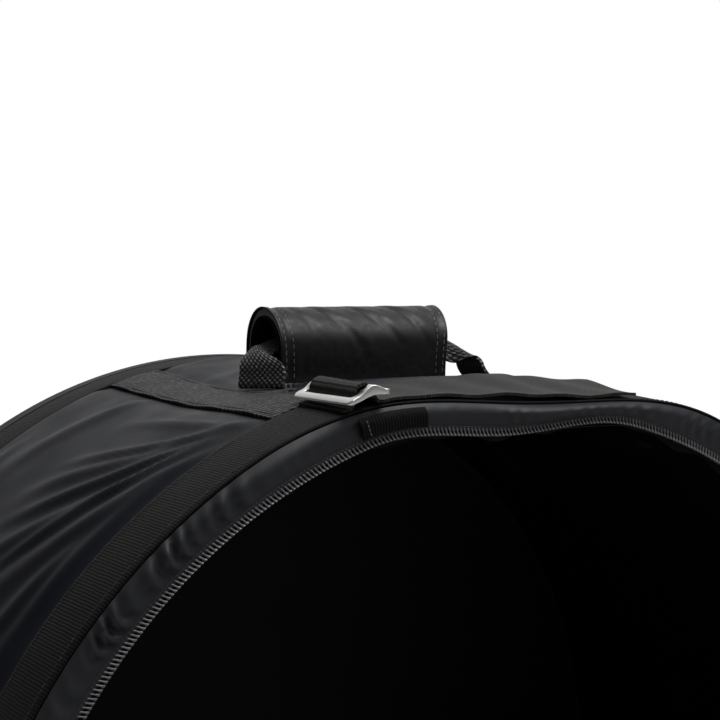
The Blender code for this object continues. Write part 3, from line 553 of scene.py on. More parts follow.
@dataclass
class Route:
    """A line on the bag that teeth or stitches follow, with the side that faces out of the cloth."""

    points: Array
    ups: Array
    half_step: float = 0.5 * MM

    def frames(self, distance: Array) -> tuple[Array, Array, Array, Array]:
        """The line at given distances from its start.

        Args:
            distance: Distances along the line.

        Returns:
            Points, forward, side and up directions.
        """
        steps = np.linalg.norm(np.diff(self.points, axis=0), axis=1)
        along = np.concatenate([[0.0], np.cumsum(steps)])

        def at(values: Array, shift: float = 0.0) -> Array:
            """The values at a shift past each distance."""
            place = distance + shift
            return np.stack([np.interp(place, along, values[:, axis]) for axis in range(3)], axis=1)

        forward = at(self.points, self.half_step) - at(self.points, -self.half_step)
        forward /= np.linalg.norm(forward, axis=1, keepdims=True)
        up = at(self.ups)
        up -= forward * (up * forward).sum(axis=1, keepdims=True)
        up /= np.linalg.norm(up, axis=1, keepdims=True)
        return at(self.points), forward, np.cross(up, forward), up

    @property
    def length(self) -> float:
        """Length of the line."""
        return float(np.linalg.norm(np.diff(self.points, axis=0), axis=1).sum())


def repeat_along(unit: Piece, name: str, route: Route, pitch: float) -> Piece:
    """Copies a small shape in a row and sets each copy rigidly on a line.

    Args:
        unit: The shape, about the origin, with X along the line and Z out of the cloth.
        name: The row's name.
        route: The line.
        pitch: Distance between copies.

    Returns:
        The row of copies as one piece.
    """
    count = max(1, int(route.length / pitch))
    start = (route.length - (count - 1) * pitch) / 2
    size = len(unit.data.vertices)
    unit.name = name
    unit.data.name = name
    apply_modifier(
        unit,
        "ARRAY",
        count=count,
        use_relative_offset=False,
        use_constant_offset=True,
        constant_offset_displace=(pitch, 0.0, 0.0),
    )
    points = coordinates_of(unit)
    index = np.arange(len(points)) // size
    local = points - np.stack([index * pitch, 0 * index, 0 * index], axis=1)
    at, forward, side, up = route.frames(start + index * pitch)
    move_points(unit, at + forward * local[:, :1] + side * local[:, 1:2] + up * local[:, 2:])
    return smooth(unit)


@dataclass(frozen=True)
class Stitch:
    """The size of a stitch of thread, and how far apart a row sets its stitches."""

    length: float
    width: float
    height: float
    pitch: float

    def unit(self) -> Piece:
        """One stitch, lying along X with its ends sunk in the cloth."""
        clear_selection()
        bpy.ops.mesh.primitive_cube_add(size=1.0, scale=(self.length, self.width, self.height))
        piece = settle(start_piece("stitch"))
        bevel_edges(piece, min(self.width, self.height) * 0.32)
        points = coordinates_of(piece)
        ends = (np.abs(points[:, 0]) / (self.length / 2)) ** 2
        points[:, 2] -= self.height * 0.9 * ends - self.height * 0.25
        return move_points(piece, points)

    def row(self, name: str, route: Route) -> Piece:
        """A row of stitches along a line."""
        return repeat_along(self.unit(), name, route, self.pitch)


STRAP_STITCH = Stitch(2.4 * MM, 0.5 * MM, 0.4 * MM, 3.6 * MM)
SEAM_STITCH = Stitch(1.5 * MM, 0.45 * MM, 0.4 * MM, 2.38 * MM)
TAB_STITCH = Stitch(1.6 * MM, 0.6 * MM, 0.5 * MM, 2.3 * MM)
WRAP_STITCH = Stitch(3.0 * MM, 0.75 * MM, 0.6 * MM, 4.6 * MM)


# Finishes


class Source(Enum):
    """Which coordinates a pattern is drawn on."""

    FLAT = "UV"
    BODY = "Object"


class Recipe:
    """The nodes of one material, from its coordinates to its shader."""

    def __init__(self, name: str, slot: str, source: Source) -> None:
        """Starts the material.

        Args:
            name: Its name.
            slot: The record's slot that it belongs to.
            source: Where its patterns are drawn.
        """
        self.material = bpy.data.materials.new(name)
        self.material.use_nodes = True
        self.slot = slot
        self.tree = self.material.node_tree
        self.shader = self.tree.nodes["Principled BSDF"]
        self.place = self.tree.nodes.new("ShaderNodeTexCoord").outputs[source.value]

    def fill(self, socket: Socket, value: object) -> None:
        """Links a socket to another, or sets its value."""
        if isinstance(value, Socket):
            self.tree.links.new(value, socket)
        else:
            socket.default_value = value

    def math(self, operation: str, *values: object, clamp: bool = False) -> Socket:
        """The result of an operation on numbers or sockets."""
        node = self.tree.nodes.new("ShaderNodeMath")
        node.operation = operation
        node.use_clamp = clamp
        for socket, value in zip(node.inputs, values):
            self.fill(socket, value)
        return node.outputs[0]

    def stripes(self, direction: Triple, pitch: float, warp: object = 0.0) -> Socket:
        """A sine from 0 to 1 along a direction.

        Args:
            direction: Which way its value changes.
            pitch: Length of one period.
            warp: An added phase.

        Returns:
            The sine's socket.
        """
        length = math.sqrt(sum(part * part for part in direction))
        node = self.tree.nodes.new("ShaderNodeVectorMath")
        node.operation = "DOT_PRODUCT"
        self.fill(node.inputs[0], self.place)
        node.inputs[1].default_value = [part / length * TURN / pitch for part in direction]
        phase = self.math("ADD", node.outputs["Value"], warp)
        return self.math("MULTIPLY_ADD", self.math("SINE", phase), 0.5, 0.5)

    def noise(self, size: float, detail: float = 2.0, stretch: Triple = (1.0, 1.0, 1.0)) -> Socket:
        """Noise about 0.5 whose blobs are about the given size.

        Args:
            size: Width of a blob.
            detail: How many finer layers it has.
            stretch: How much closer together it is along each axis.

        Returns:
            The noise's socket.
        """
        mapping = self.tree.nodes.new("ShaderNodeMapping")
        mapping.inputs["Scale"].default_value = stretch
        self.fill(mapping.inputs["Vector"], self.place)
        node = self.tree.nodes.new("ShaderNodeTexNoise")
        node.inputs["Scale"].default_value = 1.0 / size
        node.inputs["Detail"].default_value = detail
        self.fill(node.inputs["Vector"], mapping.outputs[0])
        return node.outputs["Fac"]

    def cells(self, size: float) -> Socket:
        """Distance to the nearest grain pit, in cells of the given size."""
        node = self.tree.nodes.new("ShaderNodeTexVoronoi")
        node.inputs["Scale"].default_value = 1.0 / size
        self.fill(node.inputs["Vector"], self.place)
        return node.outputs["Distance"]

    def spread(self, value: Socket, low: float, high: float, start: float = 0.0, end: float = 1.0) -> Socket:
        """Maps a range of values to another, clamped."""
        node = self.tree.nodes.new("ShaderNodeMapRange")
        for key, amount in (("From Min", low), ("From Max", high), ("To Min", start), ("To Max", end)):
            node.inputs[key].default_value = amount
        self.fill(node.inputs["Value"], value)
        return node.outputs["Result"]

    def blend(self, share: Socket, first: Colour, second: Colour) -> Socket:
        """A mix of two colours."""
        node = self.tree.nodes.new("ShaderNodeMix")
        node.data_type = "RGBA"
        self.fill(node.inputs["Factor"], share)
        colours = [socket for socket in node.inputs if socket.type == "RGBA"]
        for socket, value in zip(colours, (first, second)):
            self.fill(socket, (*value, 1.0))
        return [output for output in node.outputs if output.type == "RGBA"][0]

    def bump(self, height: Socket, distance: float, strength: float = 1.0) -> None:
        """Raises the surface by a height map.

        Args:
            height: Heights from 0 to 1.
            distance: The height of a full step.
            strength: Share of it that shows.
        """
        node = self.tree.nodes.new("ShaderNodeBump")
        node.inputs["Distance"].default_value = distance
        node.inputs["Strength"].default_value = strength
        self.fill(node.inputs["Height"], height)
        self.tree.links.new(node.outputs[0], self.shader.inputs["Normal"])

    def dull(self, roughness: Socket) -> None:
        """Sets how rough the surface is."""
        self.fill(self.shader.inputs["Roughness"], roughness)

    def finish(self, **values: float) -> None:
        """Sets plain values on the shader."""
        for key, value in values.items():
            self.shader.inputs[key.replace("_", " ")].default_value = value


@dataclass(frozen=True)
class Finish:
    """What every finish has."""

    name: str
    slot: str
    colour: Colour
    source: Source = Source.FLAT

    def nodes(self, recipe: Recipe) -> None:
        """Draws the finish."""
        raise NotImplementedError

    def make(self) -> bpy.types.Material:
        """The finish's material, made once."""
        made = bpy.data.materials.get(self.name)
        if made is None:
            recipe = Recipe(self.name, self.slot, self.source)
            self.nodes(recipe)
            made = recipe.material
        return made

    def shade(self, factor: float) -> Colour:
        """The finish's colour made lighter or darker."""
        return tuple(part * factor for part in self.colour)

    def tint(self, recipe: Recipe, share: Socket, dark: float, light: float) -> None:
        """Colours the surface between two shades of the finish's colour."""
        mixed = recipe.blend(share, self.shade(dark), self.shade(light))
        recipe.fill(recipe.shader.inputs["Base Color"], mixed)

    def dress(self, *pieces: Piece) -> None:
        """Gives pieces this finish."""
        for piece in pieces:
            piece.data.materials.clear()
            piece.data.materials.append(self.make())


@dataclass(frozen=True)
class PlainWeave(Finish):
    """Plain woven nylon with a faint grid of threads and slow shifts of tone."""

    pitch: float = 0.67 * MM
    roughness: float = 0.52
    sheen: float = 0.05
    gloss: float = 0.32
    relief: float = 0.10 * MM
    axes: tuple[Triple, Triple] = ((1.0, 0.0, 0.0), (0.0, 1.0, 0.0))

    def nodes(self, recipe: Recipe) -> None:
        """Threads over and under, dusty blotches and a worn tone."""
        warp = recipe.stripes(self.axes[0], self.pitch)
        weft = recipe.stripes(self.axes[1], self.pitch)
        weave = recipe.math("MULTIPLY", warp, weft)
        blotch = recipe.noise(38 * MM, 3.0)
        fine = recipe.noise(2.5 * MM, 2.0)
        tone = recipe.math("MULTIPLY_ADD", weave, 0.55, recipe.math("MULTIPLY_ADD", fine, 0.30, -0.05))
        tone = recipe.math("ADD", tone, recipe.math("MULTIPLY_ADD", blotch, 0.7, -0.35), clamp=True)
        self.tint(recipe, tone, 0.62, 1.45)
        recipe.dull(recipe.spread(blotch, 0.3, 0.7, self.roughness - 0.05, self.roughness + 0.06))
        recipe.bump(weave, self.relief, 0.6)
        recipe.finish(Sheen_Weight=self.sheen, Sheen_Roughness=0.4, Specular_IOR_Level=self.gloss)


class Weave(Enum):
    """How webbing is woven: ribs across it, a slanting twill, or a basket of both."""

    RIB = "rib"
    TWILL = "twill"
    BASKET = "basket"


@dataclass(frozen=True)
class Webbing(Finish):
    """Heavy woven strap, drawn along U and across V."""

    weave: Weave = Weave.RIB
    pitch: float = 2.3 * MM
    thread: float = 0.8 * MM
    roughness: float = 0.62
    relief: float = 0.2 * MM
    contrast: float = 2.6
    gloss: float = 0.2

    def nodes(self, recipe: Recipe) -> None:
        """Ribs or twill lines broken into threads, painted lighter on their tops as highlight and darker
        between them as shade.
        """
        jitter = recipe.math("MULTIPLY_ADD", recipe.noise(9 * MM, 2.0), 3.2, -1.6)
        if self.weave is Weave.TWILL:
            main = recipe.stripes((1.0, -1.15, 0.0), self.pitch, jitter)
            cross = recipe.spread(recipe.noise(2.5 * MM, 1.0, (0.5, 1.0, 1.0)), 0.48, 0.60)
        else:
            main = recipe.stripes((1.0, 0.0, 0.0), self.pitch, jitter)
            cross = recipe.stripes((0.0, 1.0, 0.0), self.thread, jitter)
        share = 0.28 if self.weave is Weave.RIB else 0.6
        ribs = recipe.math("MULTIPLY", main, recipe.math("MULTIPLY_ADD", cross, share, 1 - share))
        if self.weave is Weave.BASKET:
            gaps = (recipe.math("SUBTRACT", 1.0, main), recipe.math("SUBTRACT", 1.0, cross))
            under = recipe.math("MULTIPLY", *gaps)
            ribs = recipe.spread(recipe.math("MULTIPLY_ADD", main, cross, under), 0.42, 0.85)
        mottle = recipe.noise(2.0 * MM, 3.0)
        slow = recipe.noise(24 * MM, 2.0)
        # Painted light: the tone follows the weave's height, with painted highlight on thread tops and
        # painted shade in the grooves, times random mottle and slow tone.
        tone = recipe.math("MULTIPLY", ribs, recipe.spread(mottle, 0.32, 0.70, 0.15, 1.5))
        tone = recipe.math("MULTIPLY", tone, recipe.spread(slow, 0.3, 0.7, 0.7, 1.15), clamp=True)
        self.tint(recipe, tone, 0.45, self.contrast)
        recipe.dull(recipe.spread(mottle, 0.3, 0.7, self.roughness - 0.1, self.roughness + 0.12))
        recipe.bump(ribs, self.relief, 0.9)
        recipe.finish(Sheen_Weight=0.02, Sheen_Roughness=0.5, Specular_IOR_Level=self.gloss)


@dataclass(frozen=True)
class Leatherette(Finish):
    """Soft coated cloth with a fine grain and a broad gloss."""

    grain: float = 0.9 * MM
    roughness: float = 0.40

    def nodes(self, recipe: Recipe) -> None:
        """Fine pits, small scuffs and a rubbed tone."""
        grain = recipe.cells(self.grain)
        scuff = recipe.noise(5 * MM, 4.0)
        slow = recipe.noise(30 * MM, 2.0, (1.0, 2.0, 1.0))
        rubbed = recipe.math("MULTIPLY_ADD", slow, 0.9, -0.2)
        tone = recipe.math("MULTIPLY_ADD", grain, 0.25, rubbed, clamp=True)
        self.tint(recipe, tone, 0.6, 1.7)
        recipe.dull(recipe.spread(scuff, 0.3, 0.75, self.roughness - 0.05, self.roughness + 0.14))
        height = recipe.math("MULTIPLY_ADD", grain, 0.6, recipe.math("MULTIPLY", scuff, 0.5))
        recipe.bump(height, 0.12 * MM, 0.5)
        recipe.finish(Specular_IOR_Level=0.36)


@dataclass(frozen=True)
class SatinMetal(Finish):
    """Nickel plate with a fine tumbled finish."""

    source: Source = Source.BODY
    roughness: float = 0.26

    def nodes(self, recipe: Recipe) -> None:
        """Small scratches and slightly dull patches."""
        scratch = recipe.noise(1.2 * MM, 4.0, (1.0, 0.12, 1.0))
        patch = recipe.noise(8 * MM, 2.0)
        self.tint(recipe, patch, 0.85, 1.05)
        rough = recipe.math("MULTIPLY_ADD", patch, 0.06, self.roughness - 0.05)
        recipe.dull(recipe.math("MULTIPLY_ADD", scratch, 0.06, rough))
        recipe.finish(Metallic=1.0)


@dataclass(frozen=True)
class MouldedNylon(Finish):
    """Shiny nylon wire of the zipper's teeth, or thread."""

    source: Source = Source.BODY
    roughness: float = 0.28

    def nodes(self, recipe: Recipe) -> None:
        """A faint change of gloss and tone from tooth to tooth."""
        speck = recipe.noise(2.2 * MM, 2.0)
        self.tint(recipe, speck, 0.7, 1.3)
        recipe.dull(recipe.spread(speck, 0.3, 0.7, self.roughness - 0.06, self.roughness + 0.1))
        recipe.bump(recipe.noise(0.5 * MM, 2.0), 0.03 * MM, 0.4)
        recipe.finish(Specular_IOR_Level=0.6)


@dataclass(frozen=True)
class Fleece(Finish):
    """Foam edges, hook pile and other matt fibre."""

    source: Source = Source.BODY
    grain: float = 1.1 * MM

    def nodes(self, recipe: Recipe) -> None:
        """Open cells or pile in two tones."""
        cells = recipe.cells(self.grain)
        slow = recipe.noise(14 * MM, 2.0)
        tone = recipe.math("MULTIPLY_ADD", cells, 0.8, recipe.math("MULTIPLY", slow, 0.3), clamp=True)
        self.tint(recipe, tone, 0.5, 1.5)
        recipe.bump(cells, 0.3 * MM, 0.8)
        recipe.finish(Roughness=0.92, Specular_IOR_Level=0.2, Sheen_Weight=0.3)


DISC_COLOUR = (0.0092, 0.0104, 0.0148)
UPRIGHT_AXES = ((1.0, 0.0, 0.0), (0.0, 0.0, 1.0))
SLANT_AXES = ((1.0, 0.0, 0.0), (0.0, 1.0, 1.0))

BODY_CLOTH = PlainWeave(
    "body_cloth", "nylon", (0.0084, 0.0096, 0.0142), roughness=0.49, sheen=0.02, gloss=0.08
)
STRIP_CLOTH = PlainWeave(
    "strip_cloth", "nylon", (0.022, 0.023, 0.028), pitch=0.8 * MM, roughness=0.40, gloss=0.24
)
DISC_CLOTH = PlainWeave(
    "disc_cloth", "nylon", DISC_COLOUR, Source.BODY, sheen=0.02, gloss=0.2, axes=UPRIGHT_AXES
)
FLOOR_DISC_CLOTH = PlainWeave("lid_cloth", "nylon", DISC_COLOUR, Source.BODY, sheen=0.02, gloss=0.2)
LINING_CLOTH = PlainWeave(
    "lining_cloth", "lining", (0.005, 0.005, 0.006), pitch=0.5 * MM, roughness=0.55, sheen=0.0, gloss=0.08
)
DISC_LINING = PlainWeave(
    "disc_lining", "lining", (0.007, 0.007, 0.008), Source.BODY, 0.5 * MM, 0.5, 0.0, 0.15, axes=SLANT_AXES
)
BAND_WEBBING = Webbing(
    "band_webbing", "webbing", (0.0056, 0.005, 0.0048), pitch=1.8 * MM, contrast=2.9, gloss=0.07
)
# Painted light: a lighter, more contrasty copy of the band's own webbing for the strap's free end, where it
# catches more light.
LIT_TAIL_WEBBING = Webbing(
    "tail_webbing", "webbing", (0.0075, 0.0068, 0.0065), pitch=1.9 * MM, contrast=6.5, gloss=0.17
)
STRAP_TWILL = Webbing(
    "strap_twill", "webbing", (0.0095, 0.0095, 0.010),
    weave=Weave.TWILL, pitch=4.2 * MM, contrast=17.0, relief=0.4 * MM, gloss=0.10,
)
LOOP_WEBBING = Webbing(
    "loop_webbing", "webbing", (0.014, 0.014, 0.014),
    weave=Weave.BASKET, pitch=3.4 * MM, thread=4.4 * MM, contrast=13.0, relief=0.5 * MM, gloss=0.3,
)
RIM_BINDING = Webbing(
    "rim_binding", "binding", (0.012, 0.012, 0.013), pitch=1.4 * MM, relief=0.18 * MM, contrast=1.8
)
TAPE = Webbing(
    "zipper_tape", "tape", (0.008, 0.008, 0.009),
    pitch=1.1 * MM, thread=0.9 * MM, relief=0.15 * MM, contrast=2.0,
)
COIL = MouldedNylon("coil_nylon", "coil", (0.115, 0.115, 0.12), roughness=0.24)
THREAD = MouldedNylon("thread", "webbing", (0.11, 0.108, 0.11), roughness=0.5)
DARK_THREAD = MouldedNylon("dark_thread", "webbing", (0.018, 0.018, 0.020), roughness=0.6)
NICKEL = SatinMetal("satin_nickel", "nickel", (0.84, 0.83, 0.81), roughness=0.32)
LEATHER = Leatherette("wrap_leatherette", "leatherette", (0.0020, 0.0019, 0.0019), roughness=0.46)
FOAM = Fleece("foam_edge", "foam", (0.11, 0.11, 0.115))
PILE = Fleece("fastener_pile", "fastener", (0.02, 0.02, 0.02), grain=0.8 * MM)


# Padded wall


@dataclass
class Wall:
    """The round padded wall with its lining and the tapes over its inner seams."""

    start: float = 0.3 * MM
    end: float = 418 * MM
    thickness: float = 10.9 * MM
    edge_round: float = 3 * MM
    puff: float = 2.4 * MM
    cell: float = 3.6 * MM
    lining_out: float = -11.2 * MM
    lining_thickness: float = 1 * MM
    tape_width: float = 12 * MM
    tape_inner: float = -14.4 * MM
    tape_outer: float = -13.3 * MM
    front_tape: float = 4 * MM
    rear_tape: float = 391 * MM

    def puff_at(self, depth: Array, angle: Array) -> Array:
        """How far the padding presses the cloth out between the straps."""
        clear = ease(depth, FORM.band_end, FORM.band_end + 26 * MM)
        clear = clear * (1 - ease(depth, FORM.rear_strap_start - 2 * MM, FORM.rear_strap_start + 6 * MM))
        away = np.abs(np.abs(angle) - FORM.strap_angle(depth)) * FORM.wall_radius(depth)
        half = FORM.strap_width / 2
        return self.puff * clear * ease(away, half - 2 * MM, half + 16 * MM)

    def build_shell(self) -> Piece:
        """The wall's outer cloth over its foam, as one closed padded ring."""
        outer = np.arange(self.start + self.edge_round, self.end - self.edge_round, self.cell)
        turn = np.radians(np.linspace(0, 90, 4))[:-1]
        turn = turn[::-1] + math.radians(30)
        front = self.start + self.edge_round * (1 - np.sin(turn))
        rise = self.edge_round * (np.cos(turn) - 1)
        inner = np.linspace(self.end, self.start, 12)
        depth = np.concatenate([front, outer, [self.end], inner, front[:1]])
        out = np.concatenate([rise, 0 * outer, [0.0], 0 * inner - self.thickness, rise[:1]])
        profile = Profile(depth, out)
        index = np.arange(len(depth))
        outside = out > -self.thickness / 2

        def place(row: Array, angle: Array) -> ArrayPair:
            """Points of the wall's skin."""
            puff = np.where(outside[row], self.puff_at(depth[row], angle), 0.0)
            points = FORM.wall_point(depth[row], angle, out[row])
            axis = np.array([0.0, 0.0, FORM.axis_height])
            away = (points - axis) * np.array([1.0, 0.0, 1.0])
            away /= np.linalg.norm(away, axis=1, keepdims=True)
            points += away * puff[:, None]
            points[:, 2] = np.maximum(points[:, 2], np.where(outside[row], 0.0, self.thickness))
            return points, np.stack([angle * FORM.rear_radius, profile.run[row]], axis=1)

        return lay_cloth("gusset_shell_cloth", index, ring_angles(), place, closed=True)

    def build_lining(self) -> Piece:
        """The inner sheet of the wall."""
        depth = np.linspace(3 * MM, self.end - 12 * MM, 60)

        def place(row: Array, angle: Array) -> ArrayPair:
            """Points of the lining, with its own slack waves."""
            slack = 0.7 * MM * np.sin(angle * 23 + 9 * row) * hump(row, 0.2, 0.19)
            points = FORM.wall_point(row, angle, np.full_like(row, self.lining_out) + slack - 0.7 * MM)
            return points, np.stack([angle * FORM.mouth_radius, row], axis=1)

        lining = lay_cloth("gusset_lining_cloth", depth, ring_angles(1.2, 1.8), place)
        return solidify(merge_and_turn_out(lining), self.lining_thickness)

    def build_seam_tape(self, name: str, start: float) -> Piece:
        """A tape over one inner seam."""
        profile = band_profile(start, start + self.tape_width, self.tape_inner, self.tape_outer, 5)
        return wrap_round(name, profile, ring_angles(1.2, 1.8))

    def build(self) -> None:
        """Makes, dresses and places the wall."""
        shell = self.build_shell()
        BODY_CLOTH.dress(shell)
        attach(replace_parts(shell, "gusset_shell", "gusset_padding"), "bag")
        lining = self.build_lining()
        LINING_CLOTH.dress(lining)
        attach(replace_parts(lining, "gusset_lining"), "bag")
        for name, start in (("front_seam_tape", self.front_tape), ("rear_seam_tape", self.rear_tape)):
            tape = self.build_seam_tape(f"{name}_cloth", start)
            RIM_BINDING.dress(tape)
            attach(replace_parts(tape, name), "bag")
        log.info("wall: padded shell, lining and seam tapes")


# Straps


@dataclass
class Straps:
    """The webbing bands, the two straps under the handle, their patches and the rim's binding."""

    patch_length: float = 80 * MM
    patch_near: float = 19.5 * MM
    patch_far: float = 46 * MM
    foot_depth: float = 162 * MM
    binding_start: float = 398.6 * MM
    binding_face: float = 17 * MM
    back_face: float = 418.35 * MM
    stitched_left: Span = (-118, -27)
    stitched_right: Span = (16, 118)
    stitched_depth: Span = (52 * MM, 347 * MM)
    stitch_across: float = 15.6 * MM

    def build_bands(self) -> None:
        """The front and rear bands round the wall."""
        front = band_profile(FORM.band_start, FORM.band_end, FORM.gap, FORM.lift, 14, 0.5 * MM)
        band = wrap_round("front_strap_webbing", front, ring_angles(0.6, 1.5))
        rear = band_profile(FORM.rear_strap_start, FORM.rear_strap_end, FORM.gap, FORM.lift, 12, 0.3 * MM)
        back_band = wrap_round("rear_strap_webbing", rear, ring_angles(0.9, 1.5))
        BAND_WEBBING.dress(band, back_band)
        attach(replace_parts(band, "front_strap"), "bag")
        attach(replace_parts(back_band, "rear_strap"), "bag")

    def build_side(self, side: int, word: str) -> Piece:
        """One strap along the wall from the front band to the rear one."""
        depth = np.linspace(FORM.band_end + 0.6 * MM, FORM.rear_strap_start - 0.6 * MM, 76)
        half = FORM.strap_width / 2
        across = np.linspace(-half, half, 13)

        def place(row: Array, column: Array) -> ArrayPair:
            """Points of the strap's middle sheet, a little cupped and wavy at its edges."""
            angle = side * (FORM.strap_angle(row) - column / FORM.wall_radius(row))
            edge = (np.abs(column) / half) ** 2
            pucker = 0.35 * MM * edge * np.sin(row / MM / 9.5 + column / MM / 14) + 0.25 * MM * (1 - edge)
            lift = FORM.gap + FORM.webbing / 2 + 0.15 * MM + pucker
            return FORM.wall_point(row, angle, lift), np.stack([row, column * side], axis=1)

        return thicken(lay_cloth(f"side_strap_{word}_webbing", depth, across, place), FORM.webbing, 60)

    def build_patch(self, side: int, word: str) -> Piece:
        """Webbing sewn on the wall under one foot of the handle."""
        half = self.patch_length / 2
        depth = np.linspace(self.foot_depth - half, self.foot_depth + half, 24)
        across = np.linspace(self.patch_near - 3 * MM, self.patch_far, 8)

        def place(row: Array, column: Array) -> ArrayPair:
            """Points of the patch's middle sheet."""
            angle = side * (FORM.strap_angle(row) - column / FORM.wall_radius(row))
            lift = np.full_like(row, FORM.gap + FORM.webbing / 2 + 0.1 * MM)
            return FORM.wall_point(row, angle, lift), np.stack([row, column * side], axis=1)

        return thicken(lay_cloth(f"handle_patch_{word}_webbing", depth, across, place), FORM.webbing, 60)

    def build_binding(self) -> Piece:
        """The folded tape over the back rim."""
        edge = FORM.lift + 0.4 * MM
        corner = np.radians(np.linspace(0, 90, 6))
        outer_depth = self.back_face + FORM.webbing - 2 * MM + 2 * MM * np.sin(corner)
        outer_out = edge - 2 * MM + 2 * MM * np.cos(corner)
        depth = np.concatenate([
            np.linspace(self.binding_start, self.back_face - 1 * MM, 6),
            outer_depth,
            [self.back_face + FORM.webbing] * 4,
            [self.back_face + FORM.webbing - 0.9 * MM, self.back_face],
            [self.back_face] * 4,
            [self.binding_start],
        ])
        faces = np.linspace(-3 * MM, -self.binding_face, 4)
        out = np.concatenate([
            np.full(6, edge),
            outer_out,
            faces,
            [-self.binding_face - 0.6 * MM, -self.binding_face],
            faces[::-1] * 0.9,
            [FORM.gap],
        ])
        depth, out = np.append(depth, depth[0]), np.append(out, out[0])
        return smooth(wrap_round("rear_binding_tape", Profile(depth, out), ring_angles(0.9, 1.5)), 60)

    def stitch_rows(self) -> None:
        """Rows of thread along the bands and round the handle's patches."""
        lines = {}
        for name, depth in (("band_front", 3.5 * MM), ("band_rear", 45 * MM)):
            angles = np.radians(np.linspace(*self.stitched_left, 360))
            lines[f"{name}_left_stitches"] = (np.full_like(angles, depth), angles, 0.45 * MM)
            angles = np.radians(np.linspace(*self.stitched_right, 400))
            lines[f"{name}_right_stitches"] = (np.full_like(angles, depth), angles, 0.45 * MM)
        for side, word in ((-1, "left"), (1, "right")):
            depths = np.linspace(*self.stitched_depth, 200)
            for edge, across in (("outer", -self.stitch_across), ("inner", self.stitch_across)):
                angles = side * (FORM.strap_angle(depths) - across / FORM.wall_radius(depths))
                lines[f"side_{word}_{edge}_stitches"] = (depths, angles, 0.55 * MM)
        for name, (depths, angles, lift) in lines.items():
            points = FORM.wall_point(depths, angles, np.full_like(depths, FORM.lift + lift))
            raised = FORM.wall_point(depths, angles, np.full_like(depths, FORM.lift + lift + 1 * MM))
            row = STRAP_STITCH.row(name, Route(points, raised - points))
            DARK_THREAD.dress(row)
            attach(row, "bag")

    def build(self) -> None:
        """Makes, dresses and places the webbing."""
        self.build_bands()
        for side, word in ((-1, "left"), (1, "right")):
            strap = self.build_side(side, word)
            STRAP_TWILL.dress(strap)
            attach(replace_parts(strap, f"side_strap_{word}"), "bag")
            patch = self.build_patch(side, word)
            STRAP_TWILL.dress(patch)
            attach(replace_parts(patch, f"handle_patch_{word}"), "bag")
        binding = self.build_binding()
        RIM_BINDING.dress(binding)
        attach(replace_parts(binding, "rear_binding"), "bag")
        self.stitch_rows()
        log.info("straps: bands, side straps, patches, binding and stitches")


# Back panel


@dataclass
class BackPanel:
    """The flat padded disc that closes the back of the bag."""

    radius: float = 321 * MM
    front: float = 405.2 * MM
    back: float = 418 * MM

    def build_disc(self, name: str, face: float, thickness: float, bulge: float) -> Piece:
        """A padded or thin disc that follows the wall's flattened circle.

        Args:
            name: The piece's name.
            face: Depth of its outer face.
            thickness: How thick it is.
            bulge: How far its outer face swells at the middle.

        Returns:
            The closed disc.
        """
        shares = np.linspace(0, 1, 26)
        skin = np.concatenate([shares, shares[::-1]])
        outer = np.concatenate([np.ones(26), np.zeros(26)])
        index = np.arange(len(skin))

        def place(row: Array, angle: Array) -> ArrayPair:
            """Points of the disc's two faces."""
            share = skin[row]
            wave = 0.5 * np.sin(share * 17 + 3 * np.sin(angle * 2)) + 0.5 * np.sin(angle * 5 + share * 6)
            swell = bulge * (1 - share**4) * (0.8 + 0.25 * wave * share)
            depth = np.where(outer[row] > 0, face + swell, face - thickness + 0.2 * swell)
            radius = share * self.radius
            points = FORM.point(depth, radius, np.full_like(radius, FORM.lift + 10 * MM), angle)
            points[:, 0] = radius * np.sin(angle)
            return points, points[:, [0, 2]]

        return lay_cloth(name, index, ring_angles(1.8, 1.8), place, closed=True)

    def build(self) -> None:
        """Makes, dresses and places the panel."""
        shell = self.build_disc("back_shell_cloth", self.back, 11.0 * MM, 1.6 * MM)
        DISC_CLOTH.dress(shell)
        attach(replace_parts(shell, "back_shell", "back_padding"), "bag")
        lining = self.build_disc("back_lining_cloth", self.front + 1.3 * MM, 1.0 * MM, 0.2 * MM)
        DISC_LINING.dress(lining)
        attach(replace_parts(lining, "back_lining"), "bag")
        log.info("back panel: padded disc and lining")


# Front face


